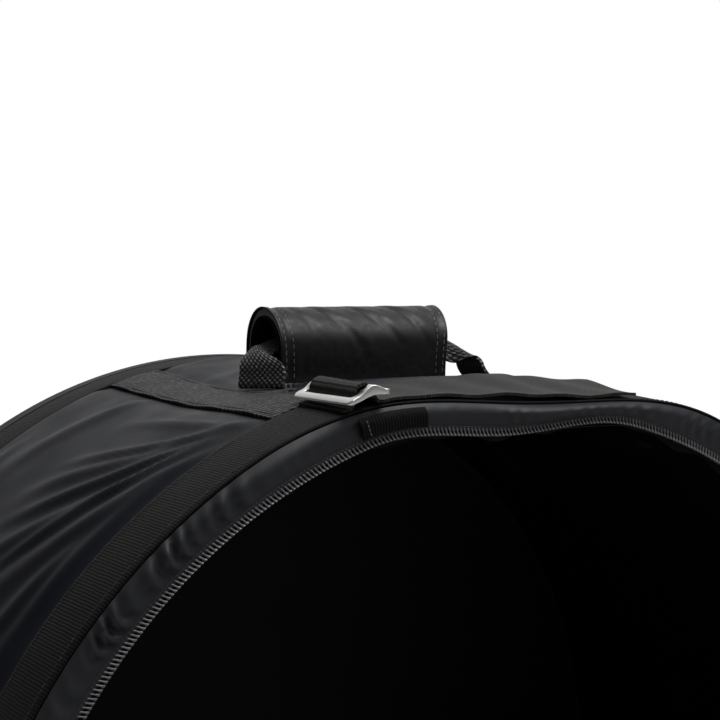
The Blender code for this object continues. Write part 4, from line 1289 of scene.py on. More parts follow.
@dataclass
class FrontFace:
    """The cloth strip round the mouth, its facing, the zipper and the sewn tab."""

    strip_inner: float = 303.4 * MM
    strip_outer: float = 322.2 * MM
    strip_thickness: float = 1.2 * MM
    strip_bulge: float = 3.4 * MM
    facing_inner: float = 298.6 * MM
    facing_outer: float = 319.5 * MM
    tape_inner: float = 300.6 * MM
    tape_outer: float = 314 * MM
    zipper_end: float = 165.5
    coil_end: float = 163.5
    tooth_radius: float = 302.4 * MM
    tooth_pitch: float = 2.38 * MM
    tooth_size: Triple = (1.6 * MM, 4.5 * MM, 2.6 * MM)
    seam_radius: float = 306.2 * MM
    seam_depth: float = -3.3 * MM
    tab_span: Span = (-18.7, -11.3)
    tab_inner: float = 306.6 * MM
    tab_width: float = 13.4 * MM
    tab_thickness: float = 1.3 * MM
    tab_row_angle: float = -18.0
    tab_row_depth: float = -7.2 * MM
    tab_row_span: Span = (307.5 * MM, 319 * MM)

    def gathers(self, angle: Array) -> Array:
        """Puckers of the strip, strongest where the strip is slack low on the left."""
        run = angle * self.strip_outer / MM
        turn = np.degrees(angle)
        near = hump(turn, -43.0, 20.0) * 2.5 + hump(turn, 24.0, 30.0) * 0.4 + 0.15
        wave = np.sin(run / 1.75 + 1.7 * np.sin(run / 11.0)) * (0.6 + 0.4 * np.sin(run / 7.3 + 1.0))
        return near * wave * MM

    def build_strip(self) -> Piece:
        """The strip, a little swollen and puckered between the teeth and the band."""
        shares = np.linspace(0.0, 1.0, 13)

        def place(row: Array, angle: Array) -> ArrayPair:
            """Points of the strip's middle sheet."""
            radius = self.strip_inner + (self.strip_outer - self.strip_inner) * row
            arch = np.sin(math.pi * np.clip(row, 0, 1) ** 1.5)
            slack = 1 + 0.35 * np.sin(angle * 9 + 0.6) + 0.2 * np.sin(angle * 23)
            out = self.strip_bulge * arch * slack * (0.35 + 0.65 * hump(np.degrees(angle), 0.0, 80.0))
            out = out + self.gathers(angle + 0.024 * np.sin(3 * row)) * arch
            depth = -0.9 * MM - out
            points = FORM.face_point(depth, radius, angle, 13.0 * MM)
            flat = 15.1 * MM - (15.1 - 2.8) * MM * row
            points[:, 2] = np.maximum(points[:, 2], flat)
            return points, np.stack([angle * self.strip_outer, radius], axis=1)

        strip = lay_cloth("front_strip_cloth", shares, ring_angles(0.2, 0.7, -75, 50), place)
        return thicken(merge_and_turn_out(strip), self.strip_thickness, even=False)

    def build_facing(self) -> Piece:
        """The lining cloth behind the zipper, whose free inner edge waves behind the teeth."""
        shares = np.linspace(0.0, 1.0, 10)

        def place(row: Array, angle: Array) -> ArrayPair:
            """Points of the facing's middle sheet."""
            free = (1 - row) ** 2
            wave = np.sin(angle * 31 + 1.5 * np.sin(angle * 13)) + 0.5 * np.sin(angle * 57 + 1.0)
            radius = self.facing_inner + (self.facing_outer - self.facing_inner) * row
            radius = radius + 1.3 * MM * free * wave
            depth = 3.1 * MM + free * (2.3 * MM + 0.6 * MM * np.sin(angle * 43 + 2.0))
            points = FORM.face_point(depth, radius, angle)
            points[:, 2] = np.maximum(points[:, 2], 14.0 * MM - 9.5 * MM * row)
            return points, np.stack([angle * self.facing_outer, radius], axis=1)

        facing = lay_cloth("strip_facing_cloth", shares, ring_angles(0.6, 1.2), place)
        return thicken(merge_and_turn_out(facing), 0.7 * MM)

    def build_tape(self) -> Piece:
        """The zipper's woven tape."""
        angles = np.radians(np.linspace(-self.zipper_end, self.zipper_end, 560))
        shares = np.linspace(0.0, 1.0, 7)

        def place(row: Array, angle: Array) -> ArrayPair:
            """Points of the tape's middle sheet."""
            radius = self.tape_inner + (self.tape_outer - self.tape_inner) * row
            points = FORM.face_point(np.full_like(row, 0.75 * MM), radius, angle, 0.5 * MM)
            return points, np.stack([angle * self.tape_outer, radius], axis=1)

        return thicken(lay_cloth("zipper_tape_cloth", shares, angles, place), 0.7 * MM)

    def route(self, radius: float, depth: float, start: float, end: float) -> Route:
        """A line round the mouth at a radius.

        Args:
            radius: Its distance from the axis before any sag.
            depth: Its depth.
            start: Its first angle in degrees.
            end: Its last angle in degrees.

        Returns:
            The line, with its outer side towards the front.
        """
        angles = np.radians(np.linspace(start, end, 900))
        points = FORM.face_point(np.full_like(angles, depth), np.full_like(angles, radius), angles)
        return Route(points, np.tile([0.0, -1.0, 0.0], (len(angles), 1)))

    def tooth_unit(self) -> Piece:
        """One turn of the coil: a slanting bar with a round head towards the mouth's middle."""
        clear_selection()
        bpy.ops.mesh.primitive_cube_add(size=1.0, scale=self.tooth_size)
        unit = settle(start_piece("tooth"))
        cut = (0, -0.18 * self.tooth_size[1], 0)
        in_edit_mode(unit, lambda: bpy.ops.mesh.bisect(plane_co=cut, plane_no=(0, 1, 0)))
        bevel_edges(unit, 0.38 * MM)
        points = coordinates_of(unit)
        head = ease(-points[:, 1], 0.1 * self.tooth_size[1], 0.42 * self.tooth_size[1])
        points[:, 0] *= 0.6 + 0.66 * head
        points[:, 2] *= 0.7 + 0.4 * head
        points[:, 0] -= 0.36 * points[:, 1]
        return move_points(unit, points)

    def build_teeth(self) -> Piece:
        """The zipper's row of teeth."""
        route = self.route(self.tooth_radius, -1.15 * MM, -self.coil_end, self.coil_end)
        return repeat_along(self.tooth_unit(), "zipper_coil_teeth", route, self.tooth_pitch)

    def build_tab(self) -> Piece:
        """The short piece of webbing sewn on the strip beside the zipper."""
        angles = np.radians(np.linspace(*self.tab_span, 40))
        shares = np.linspace(0.0, 1.0, 9)

        def place(row: Array, angle: Array) -> ArrayPair:
            """Points of the tab's middle sheet, over the strip's swell."""
            radius = self.tab_inner + self.tab_width * row
            share = np.clip((radius - self.strip_inner) / (self.strip_outer - self.strip_inner), 0, 1)
            depth = -3.1 * MM - 0.9 * self.strip_bulge * np.sin(math.pi * share**1.5)
            points = FORM.face_point(depth, radius, angle)
            return points, np.stack([angle * self.strip_outer, radius], axis=1)

        return thicken(lay_cloth("zipper_tab_webbing", shares, angles, place), self.tab_thickness, 60)

    def build(self) -> None:
        """Makes, dresses and places the front face."""
        strip, facing, tape = self.build_strip(), self.build_facing(), self.build_tape()
        teeth, tab = self.build_teeth(), self.build_tab()
        dressed = (
            (strip, STRIP_CLOTH, "front_strip"),
            (facing, LINING_CLOTH, "strip_facing"),
            (tape, TAPE, "zipper_tape"),
            (teeth, COIL, "zipper_coil"),
            (tab, BAND_WEBBING, "zipper_tab"),
        )
        for piece, finish, node in dressed:
            finish.dress(piece)
            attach(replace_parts(piece, node), "bag")
        seam_line = self.route(self.seam_radius, self.seam_depth, -self.coil_end, self.coil_end)
        seam = SEAM_STITCH.row("zipper_seam_stitches", seam_line)
        DARK_THREAD.dress(seam)
        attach(seam, "bag")
        radius = np.linspace(*self.tab_row_span, 30)
        angle = np.full_like(radius, math.radians(self.tab_row_angle))
        points = FORM.face_point(np.full_like(radius, self.tab_row_depth), radius, angle)
        end_row = TAB_STITCH.row("zipper_tab_stitches", Route(points, np.tile([0.0, -1.0, 0.0], (30, 1))))
        THREAD.dress(end_row)
        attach(end_row, "bag")
        for word in ("left", "right"):
            NICKEL.dress(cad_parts[f"zipper_stop_{word}"])
        log.info("front face: strip, facing, tape, %d teeth and tab", len(teeth.data.polygons))


# Buckle and the webbing through it


def lies_at(value: float, *places: float) -> bool:
    """Whether a coordinate lies at one of the given distances from the middle, on either side."""
    return any(abs(abs(value) - place) < 1e-5 for place in places)


@dataclass
class Buckle:
    """The die-cast frame, seated on the front band."""

    angle: float = -17.1
    depth: float = 24 * MM
    length: float = 66 * MM
    width: float = 26 * MM
    thickness: float = 2.8 * MM
    corner: float = 3.5 * MM
    long_bar: float = 4.5 * MM
    side_bar: float = 5.5 * MM
    centre_bar: float = 3.4 * MM
    arch: float = 1.2 * MM
    bevel: float = 0.75 * MM
    side_rise: float = 3.4 * MM
    side_rise_place: float = 3.0 * MM
    side_rise_reach: float = 9.5 * MM
    slot_corner: float = 1.2 * MM
    bends_across: tuple[float, ...] = (3.4 * MM, 5.1 * MM, 6.8 * MM, 10.5 * MM)
    bends_along: tuple[float, ...] = (-14 * MM, 0.0, 14 * MM)
    chamfer_width: float = 3.4 * MM
    chamfer_drop: float = 1.7 * MM
    tail_thickness: float = 1.6 * MM
    tail_lift: float = 0.55 * MM
    place: Triple = (-0.096468, -0.186, 0.627326)
    axis_x: Triple = (0.976907, 0.0, 0.213663)
    axis_y: Triple = (-0.010778, 0.998727, 0.049278)
    axis_z: Triple = (-0.213391, -0.050443, 0.975664)

    @property
    def slot_sides(self) -> Span:
        """Where each slot starts and ends, across the frame."""
        return self.centre_bar / 2, self.width / 2 - self.long_bar

    @property
    def half_slot(self) -> float:
        """Half the length of a slot."""
        return self.length / 2 - self.side_bar

    def cut_lines(self) -> list[tuple[Vector, Vector]]:
        """Planes that cut the block where its bars meet its slots, and where it bends."""
        across = (*self.slot_sides, *self.bends_across)
        along = (-self.half_slot, self.half_slot, *self.bends_along)
        planes = [(Vector((side * x, 0, 0)), Vector((1, 0, 0))) for side in (-1, 1) for x in across]
        return planes + [(Vector((0, y, 0)), Vector((0, 1, 0))) for y in along]

    def select_faces(self, piece: Piece, test: Callable[[bpy.types.MeshPolygon], bool]) -> None:
        """Selects faces by their place, from object mode back into edit mode."""
        bpy.ops.mesh.select_all(action="DESELECT")
        bpy.ops.object.mode_set(mode="OBJECT")
        for polygon in piece.data.polygons:
            polygon.select = test(polygon)
        bpy.ops.object.mode_set(mode="EDIT")

    def select_edges(self, piece: Piece, test: Callable[[Vector, Vector], bool]) -> None:
        """Selects edges by the places of their ends."""
        bpy.ops.mesh.select_all(action="DESELECT")
        bpy.ops.object.mode_set(mode="OBJECT")
        corners = piece.data.vertices
        for edge in piece.data.edges:
            edge.select = test(corners[edge.vertices[0]].co, corners[edge.vertices[1]].co)
        bpy.ops.object.mode_set(mode="EDIT")

    def build_frame(self) -> Piece:
        """A block with two slots cut through it, rounded corners, worn edges and a low arch."""
        clear_selection()
        bpy.ops.mesh.primitive_cube_add(size=1.0, scale=(self.width, self.length, self.thickness))
        piece = settle(start_piece("buckle_frame_cast"))
        take_up(piece)
        bpy.ops.object.mode_set(mode="EDIT")
        bpy.ops.mesh.select_mode(type="FACE")
        cut_at(self.cut_lines())
        slot_low, slot_high = self.slot_sides
        half_slot = self.half_slot

        def over_slot(polygon: bpy.types.MeshPolygon) -> bool:
            """Whether a face lies over one of the two slots."""
            x, y = abs(polygon.center.x), abs(polygon.center.y)
            return slot_low < x < slot_high and y < half_slot and abs(polygon.normal.z) > 0.9

        self.select_faces(piece, over_slot)
        bpy.ops.mesh.delete(type="FACE")
        for side in (-1, 1):
            self.select_edges(
                piece,
                lambda a, b: all(
                    slot_low - 1e-5 <= side * p.x <= slot_high + 1e-5
                    and abs(p.y) <= half_slot + 1e-5
                    and abs(p.z) > self.thickness * 0.4
                    for p in (a, b)
                )
                and (a.z > 0) == (b.z > 0)
                and self.on_slot_rim(a, b, slot_low, slot_high, half_slot),
            )
            bpy.ops.mesh.bridge_edge_loops()
        self.round_corners(piece)
        bpy.ops.object.mode_set(mode="OBJECT")
        round_edges(piece, self.bevel, 3, 50)
        points = coordinates_of(piece)
        top = points[:, 2] > 0
        beside = ease(np.abs(points[:, 1]), half_slot - 0.6 * MM, half_slot + 0.4 * MM)
        rise = self.side_rise * hump(points[:, 0], self.side_rise_place, self.side_rise_reach) * beside
        points[:, 2] += self.arch * hump(points[:, 0], 0.0, self.width / 2) - self.arch
        points[:, 2] += np.where(top, rise, 0.25 * rise)
        near_bar = ease(-points[:, 0], slot_high - 0.5 * MM, slot_high + 1 * MM)
        chamfer = (-points[:, 0] - self.width / 2 + self.chamfer_width) / self.chamfer_width
        chamfer = np.clip(chamfer, 0.0, 1.0)
        points[:, 2] -= np.where(top, self.chamfer_drop * chamfer, 0.2 * MM * near_bar)
        axes = np.array([self.axis_x, self.axis_y, self.axis_z])
        move_points(piece, points @ axes + np.array(self.place))
        return smooth(merge_and_turn_out(piece), 40)

    @staticmethod
    def on_slot_rim(first: Vector, second: Vector, low: float, high: float, half: float) -> bool:
        """Whether both ends of an edge lie on the same side of a slot's outline."""
        ends = (first, second)
        sides = (
            all(lies_at(end.x, low) for end in ends),
            all(lies_at(end.x, high) for end in ends),
            all(lies_at(end.y, half) for end in ends) and first.y * second.y > 0,
        )
        return any(sides)

    def round_corners(self, piece: Piece) -> None:
        """Rounds the frame's outer and slot corners, seen from above."""
        bpy.ops.mesh.select_mode(type="EDGE")

        def upright(a: Vector, b: Vector) -> bool:
            """Whether an edge runs straight up."""
            return abs(a.x - b.x) < 1e-6 and abs(a.y - b.y) < 1e-6

        def at_rim(a: Vector, b: Vector) -> bool:
            """Whether an edge is one of the frame's four outer corners."""
            return upright(a, b) and lies_at(a.x, self.width / 2) and lies_at(a.y, self.length / 2)

        def in_slot(a: Vector, b: Vector) -> bool:
            """Whether an edge is one of the slots' corners."""
            return upright(a, b) and lies_at(a.y, self.half_slot) and lies_at(a.x, *self.slot_sides)

        self.select_edges(piece, at_rim)
        bpy.ops.mesh.bevel(offset=self.corner, segments=5, affect="EDGES")
        self.select_edges(piece, in_slot)
        bpy.ops.mesh.bevel(offset=self.slot_corner, segments=3, affect="EDGES")

    def build_tail(self) -> Piece:
        """The free webbing: under one long bar, over the centre bar, under the other and along the band."""
        radius = float(FORM.wall_radius(np.array(self.depth)))
        end = math.radians(15 - self.angle) * radius / MM
        stops = np.array([-14, -9.5, -7.6, -6.2, -3.9, -1.4, 2.6, 4.9, 6.4, 7.7, 11.0, 17.0])
        heights = np.array([-0.2, -0.4, -0.2, 2.7, 7.9, 10.2, 11.0, 9.2, 3.2, 0.1, -0.3, 0.1])
        along = np.concatenate([np.arange(-14, 17, 0.6), np.arange(17, end, 1.6), [end]])
        smooth_height = np.interp(along, stops, heights)
        kernel = np.array([0.25, 0.5, 0.25])
        for _ in range(2):
            smooth_height = np.convolve(np.pad(smooth_height, 1, mode="edge"), kernel, mode="valid")
        across = np.linspace(FORM.band_start + 0.3 * MM, FORM.band_end - 0.3 * MM, 15)

        def place(row: Array, column: Array) -> ArrayPair:
            """Points of the tail's middle sheet."""
            angle = math.radians(self.angle) + column * MM / radius
            height = np.interp(column, along, smooth_height) * MM
            loose = ease(column, 22.0, 50.0) * (0.5 + 0.5 * np.sin(column / 17.0 + 1.9)) * 1.7 * MM
            loose = loose + ease(column, 16.0, 40.0) * 0.5 * MM * np.sin(column / 6.3 + row / (11 * MM))
            lift = FORM.lift + FORM.gap + FORM.webbing / 2 + self.tail_lift + height + loose
            return FORM.wall_point(row, angle, lift), np.stack([column * MM, row], axis=1)

        return thicken(lay_cloth("strap_tail_webbing", across, along, place), self.tail_thickness, 60)

    def build(self) -> None:
        """Makes, dresses and places the buckle and its webbing."""
        cast = self.build_frame()
        NICKEL.dress(cast)
        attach(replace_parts(cast, "buckle_frame"), "buckle")
        tail = self.build_tail()
        # Painted light: the tail wears a lighter copy of the band's webbing.
        LIT_TAIL_WEBBING.dress(tail)
        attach(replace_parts(tail, "strap_tail"), "bag")
        log.info("buckle: cast frame of %d faces and its webbing", len(cast.data.polygons))


# Carrying handle


@dataclass
class Handle:
    """A webbing loop in a padded wrap that is closed by a flap."""

    depth: float = 192 * MM
    half_length: float = 65 * MM
    radius: float = 24 * MM
    centre_height: float = 653.993 * MM
    rear_leg: float = 14 * MM
    front_leg: float = 24.7 * MM
    cover: float = 1.2 * MM
    padding_start: float = 1.55 * MM
    padding: float = 4 * MM
    lining_start: float = 5.9 * MM
    lining: float = 0.8 * MM
    loop_width: float = 38 * MM
    folded_width: float = 25 * MM
    loop_thickness: float = 2.2 * MM
    foot_depth: float = 162 * MM
    foot_across: Span = (31 * MM, 24.5 * MM)
    exit_tilt: float = 18 * MM
    foot_twist: float = 13 * MM
    stitch_insets: Span = (2.6 * MM, 8.4 * MM)
    crease_lines: tuple[tuple[float, float, float, float], ...] = (
        (-45, 70, 15, 0.8),
        (-27, 66, 20, 1.2),
        (-12, 84, 16, 0.8),
        (3, 68, 24, 1.3),
        (16, 78, 20, 0.9),
        (29, 64, 26, 1.2),
        (40, 80, 22, 0.8),
        (52, 70, 14, 0.7),
    )

    @property
    def closed(self) -> float:
        """Where the round over the loop ends and the flap hangs straight, along the section."""
        return self.rear_leg + math.pi * self.radius

    @property
    def end(self) -> float:
        """The flap's edge, along the section."""
        return self.closed + self.front_leg

    def section(self, run: Array, offset: float) -> tuple[Array, Array, Array]:
        """The wrap's section, from the rear leg over the top and down to the flap's edge.

        Args:
            run: Distance along the outer face, from the rear leg's lower edge.
            offset: Distance inwards from the outer face.

        Returns:
            Y, Z and the outward direction's angle.
        """
        middle = self.depth - FORM.depth / 2
        turn = np.clip((run - self.rear_leg) / self.radius, 0.0, math.pi)
        reach = self.radius - offset
        y = middle + reach * np.cos(turn)
        z = self.centre_height + reach * np.sin(turn)
        z = z - np.maximum(self.rear_leg - run, 0.0) - np.maximum(run - self.closed, 0.0)
        return y, z, turn

    def creases(self, x: Array, run: Array) -> Array:
        """Soft diagonal creases over the wrap's top and its slightly drawn ends."""
        rise = np.zeros_like(x)
        for start, centre, slope, height in self.crease_lines:
            across = x - start * MM - (run - centre * MM) * slope / 30.0
            groove = np.exp(-((across / (3 * MM)) ** 2)) * hump(run, centre * MM, 20 * MM)
            ridge = np.exp(-(((across - 6.5 * MM) / (5 * MM)) ** 2)) * hump(run, centre * MM, 24 * MM)
            rise += (0.5 * ridge - 0.8 * groove) * height * MM
        rise += 0.6 * MM * np.sin(x / (19 * MM) + run / (31 * MM)) * np.sin(run / (17 * MM))
        return rise

    def drawn_in(self, x: Array, run: Array) -> Array:
        """The wrap's places along its length, with the flap's lower corners drawn in."""
        share = ease(run, self.rear_leg + 0.4 * math.pi * self.radius, self.end)
        drawn = np.where(x > 0, 3 * MM + 6 * MM * share, 2.5 * MM * share)
        return x * (1 - drawn / self.half_length)

    def hang(self, x: Array, run: Array) -> Array:
        """How far the flap stands away from plumb, towards the mouth, and the rear leg towards the back."""
        front = ease(run, self.closed - 36 * MM, self.closed + 2 * MM)
        edge = ease(run, self.closed + 3 * MM, self.end)
        rear = 1 - ease(run, 0.0, self.rear_leg + 6 * MM)
        return front * 2.4 * MM + edge * (0.8 * MM * np.sin(x / (23 * MM)) - 1.2 * MM) - 1.5 * MM * rear

    def skin(self, x: Array, run: Array, offset: float, half: float, lift: float = 0.0) -> ArrayPair:
        """Points of the creased wrap.

        Args:
            x: Their places along the wrap.
            run: Their places along its section.
            offset: Their depth below the cover's outer face.
            half: Half the length of their layer.
            lift: How far they stand out of it.

        Returns:
            The points and their outward directions.
        """
        near_end = (np.abs(x) / half) ** 8
        y, z, turn = self.section(run, offset)
        rise = self.creases(x, run) * (1 - near_end) + 0.5 * MM * near_end
        rise = rise - 0.9 * MM * hump(np.abs(x), half - 6 * MM, 5 * MM) + lift
        y = y + rise * np.cos(turn) - self.hang(x, run)
        z = z + rise * np.sin(turn)
        out = np.stack([0 * run, np.cos(turn), np.sin(turn)], axis=1)
        return np.stack([self.drawn_in(x, run), y, z], axis=1), out

    def layer(self, name: str, offset: float, thickness: float, inset: float) -> Piece:
        """One layer of the wrap, from its rear leg to the flap's edge.

        Args:
            name: The piece's name.
            offset: Depth of its outer face below the cover's.
            thickness: How thick it is.
            inset: How much shorter it is at each end of the wrap.

        Returns:
            The closed layer.
        """
        run = np.linspace(inset * 0.8, self.end - inset * 0.8, 60)
        half = self.half_length - inset
        middle = np.linspace(-half + 2.5 * MM, half - 2.5 * MM, 78)
        along = np.concatenate([[-half, -half + 0.8 * MM], middle, [half - 0.8 * MM, half]])

        def place(row: Array, column: Array) -> ArrayPair:
            """Points of the layer's middle sheet."""
            points, _ = self.skin(column, row, offset + thickness / 2, half)
            return points, np.stack([column, row], axis=1)

        return thicken(lay_cloth(name, run, along, place), thickness, 60)

    def build_wrap(self) -> None:
        """The cover, foam and lining, each in one sheet that bends where the flap starts."""
        layers = (
            ("cover", LEATHER, 0.0, self.cover, 0.0),
            ("padding", FOAM, self.padding_start, self.padding, 1.6 * MM),
            ("lining", LINING_CLOTH, self.lining_start, self.lining, 0.3 * MM),
        )
        for word, finish, offset, thickness, inset in layers:
            piece = self.layer(f"wrap_{word}_layer", offset, thickness, inset)
            finish.dress(piece)
            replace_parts(piece, f"wrap_{word}", f"flap_{word}")
            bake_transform(piece)

    @property
    def fold_line(self) -> tuple[Triple, Triple]:
        """Start and end of the slanting line where the wrap turns into the flap, clear of the rear leg."""
        y, z = self.depth - FORM.depth / 2 - self.radius, self.centre_height - FORM.gap
        return (0.0, y + 1.5 * MM, z + 2.6 * MM), (0.0, y - 3 * MM, z - 5.2 * MM)

    def build_stitches(self) -> None:
        """Two rows of thread near each end of the wrap."""
        run = np.linspace(1.5 * MM, self.end - 1.5 * MM, 120)
        for side, word in ((-1, "left"), (1, "right")):
            for inset, place in zip(self.stitch_insets, ("outer", "inner")):
                x = np.full_like(run, side * (self.half_length - inset))
                line = Route(*self.skin(x, run, 0.0, self.half_length, 0.05 * MM))
                row = WRAP_STITCH.row(f"wrap_stitches_{word}_{place}", line)
                THREAD.dress(row)
                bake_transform(row)

    def build_fastener(self) -> None:
        """The hook strip inside the flap and the loop strip on the wrap's rear leg."""
        for node, body in (("hook_strip", "flap"), ("loop_strip", "handle")):
            low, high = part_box(node)
            clear_selection()
            middle, size = (low + high) / 2, high - low
            bpy.ops.mesh.primitive_cube_add(size=1.0, location=middle, scale=size)
            strip = settle(start_piece(f"{node}_pile"))
            bevel_edges(strip, 0.35 * MM, 2)
            PILE.dress(smooth(strip))
            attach(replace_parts(strip, node), body)

    def foot_point(self, across: float) -> Vector:
        """X and Z of a place under the loop's right foot."""
        depth = np.array([self.foot_depth])
        angle = FORM.strap_angle(depth) - across / FORM.wall_radius(depth)
        height = np.array([FORM.lift + FORM.gap + self.loop_thickness / 2])
        point = FORM.wall_point(depth, angle, height, still=True)[0]
        return Vector((point[0], point[2]))

    def loop_line(self, bulge_out: float) -> ArrayPair:
        """Half of the loop's middle line.

        Args:
            bulge_out: How far it bulges past its foot.

        Returns:
            X and Z from its foot to the wrap's middle, and each point's share of the way to the wrap.
        """
        inner, outer = (self.foot_point(across) for across in self.foot_across)
        outward = (outer - inner).normalized()
        bulge = outer + Vector((bulge_out, 11 * MM))
        roof = self.radius - self.lining_start - self.lining
        top = Vector((0.0, self.centre_height + roof - 4.2 * MM - self.loop_thickness / 2))
        mouth = Vector((self.half_length - 3 * MM, top.y - 14 * MM))
        slope = math.radians(20)
        inwards, up = Vector((-math.cos(slope), math.sin(slope))), Vector((0.0, 1.0))
        runs = (
            (outer, outward * 3 * MM, -up * 6 * MM, bulge, 0.0, 0.15),
            (bulge, up * 12 * MM, -inwards * 8 * MM, mouth, 0.15, 1.0),
            (mouth, inwards * 22 * MM, Vector((34 * MM, 0.0)), top, 1.0, 1.0),
        )
        steps = 16
        line, shares = [tuple(inner), tuple((inner + outer) / 2)], [0.0, 0.0]
        for start, pull_out, pull_in, end, share_start, share_end in runs:
            corners = (start, start + pull_out, end + pull_in, end)
            points = interpolate_bezier(*(corner.to_3d() for corner in corners), steps)
            for index, point in enumerate(points[:-1]):
                line.append((point.x, point.y))
                shares.append(share_start + (share_end - share_start) * index / (steps - 1))
        line.append(tuple(top))
        shares.append(1.0)
        return np.array(line), np.array(shares)

    def build_loop(self) -> Piece:
        """The whole loop, from its left foot through the wrap to its right foot, which is the slacker one."""
        right_line, right_share = self.loop_line(-5 * MM)
        left_line, left_share = self.loop_line(-0.5 * MM)
        line = np.concatenate([left_line * [-1.0, 1.0], right_line[-2::-1]])
        share = np.concatenate([left_share, right_share[-2::-1]])
        run = np.concatenate([[0.0], np.cumsum(np.linalg.norm(np.diff(line, axis=0), axis=1))])
        step = np.gradient(line, axis=0)
        step /= np.linalg.norm(step, axis=1, keepdims=True)
        out = np.stack([-step[:, 1], step[:, 0]], axis=1)
        foot = np.array([self.foot_depth])
        angle = FORM.strap_angle(foot) - self.foot_across[1] / FORM.wall_radius(foot)
        edges = foot + np.array([-0.5, 0.5]) * self.loop_width
        low, high = FORM.wall_point(edges, np.repeat(angle, 2), np.zeros(2), still=True)[:, 2]
        slope = (high - low) / self.loop_width
        across = np.linspace(-0.5, 0.5, 13)
        index = np.arange(len(line))

        def place(row: Array, at: Array) -> ArrayPair:
            """Points of the loop's middle sheet, which folds up as it enters the wrap."""
            settled = share[at] ** 2 * (3 - 2 * share[at])
            middle = self.foot_depth + (self.depth - self.foot_depth) * settled - FORM.depth / 2
            width = self.loop_width + (self.folded_width - self.loop_width) * settled
            cup = 2.2 * MM * hump(share[at], 0.7, 0.6) * (1 - 2 * (2 * row) ** 2)
            x = line[at, 0] + out[at, 0] * cup
            z = line[at, 1] + out[at, 1] * cup + slope * (1 - settled) * row * width
            tilt = self.exit_tilt * hump(share[at], 0.8, 0.7) * ease(np.abs(line[at, 0]), 25 * MM, 55 * MM)
            z = z + tilt * row * np.where(line[at, 0] < 0, 0.3, 1.0)
            x = x - self.foot_twist * row * hump(share[at], 0.1, 0.6) * np.where(line[at, 0] < 0, 1.0, -0.3)
            flat = np.stack([run[at], row * self.loop_width], axis=1)
            return np.stack([x, middle + row * width, z], axis=1), flat

        loop = lay_cloth("handle_loop_webbing", across, index, place)
        return thicken(loop, self.loop_thickness - 0.2 * MM, 60)

    def build(self) -> None:
        """Makes, dresses and places the handle."""
        loop = self.build_loop()
        LOOP_WEBBING.dress(loop)
        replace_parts(loop, "handle_loop")
        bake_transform(loop)
        self.build_wrap()
        self.build_stitches()
        self.build_fastener()
        log.info("handle: loop, wrap, flap, fastener and stitches")


# Lid


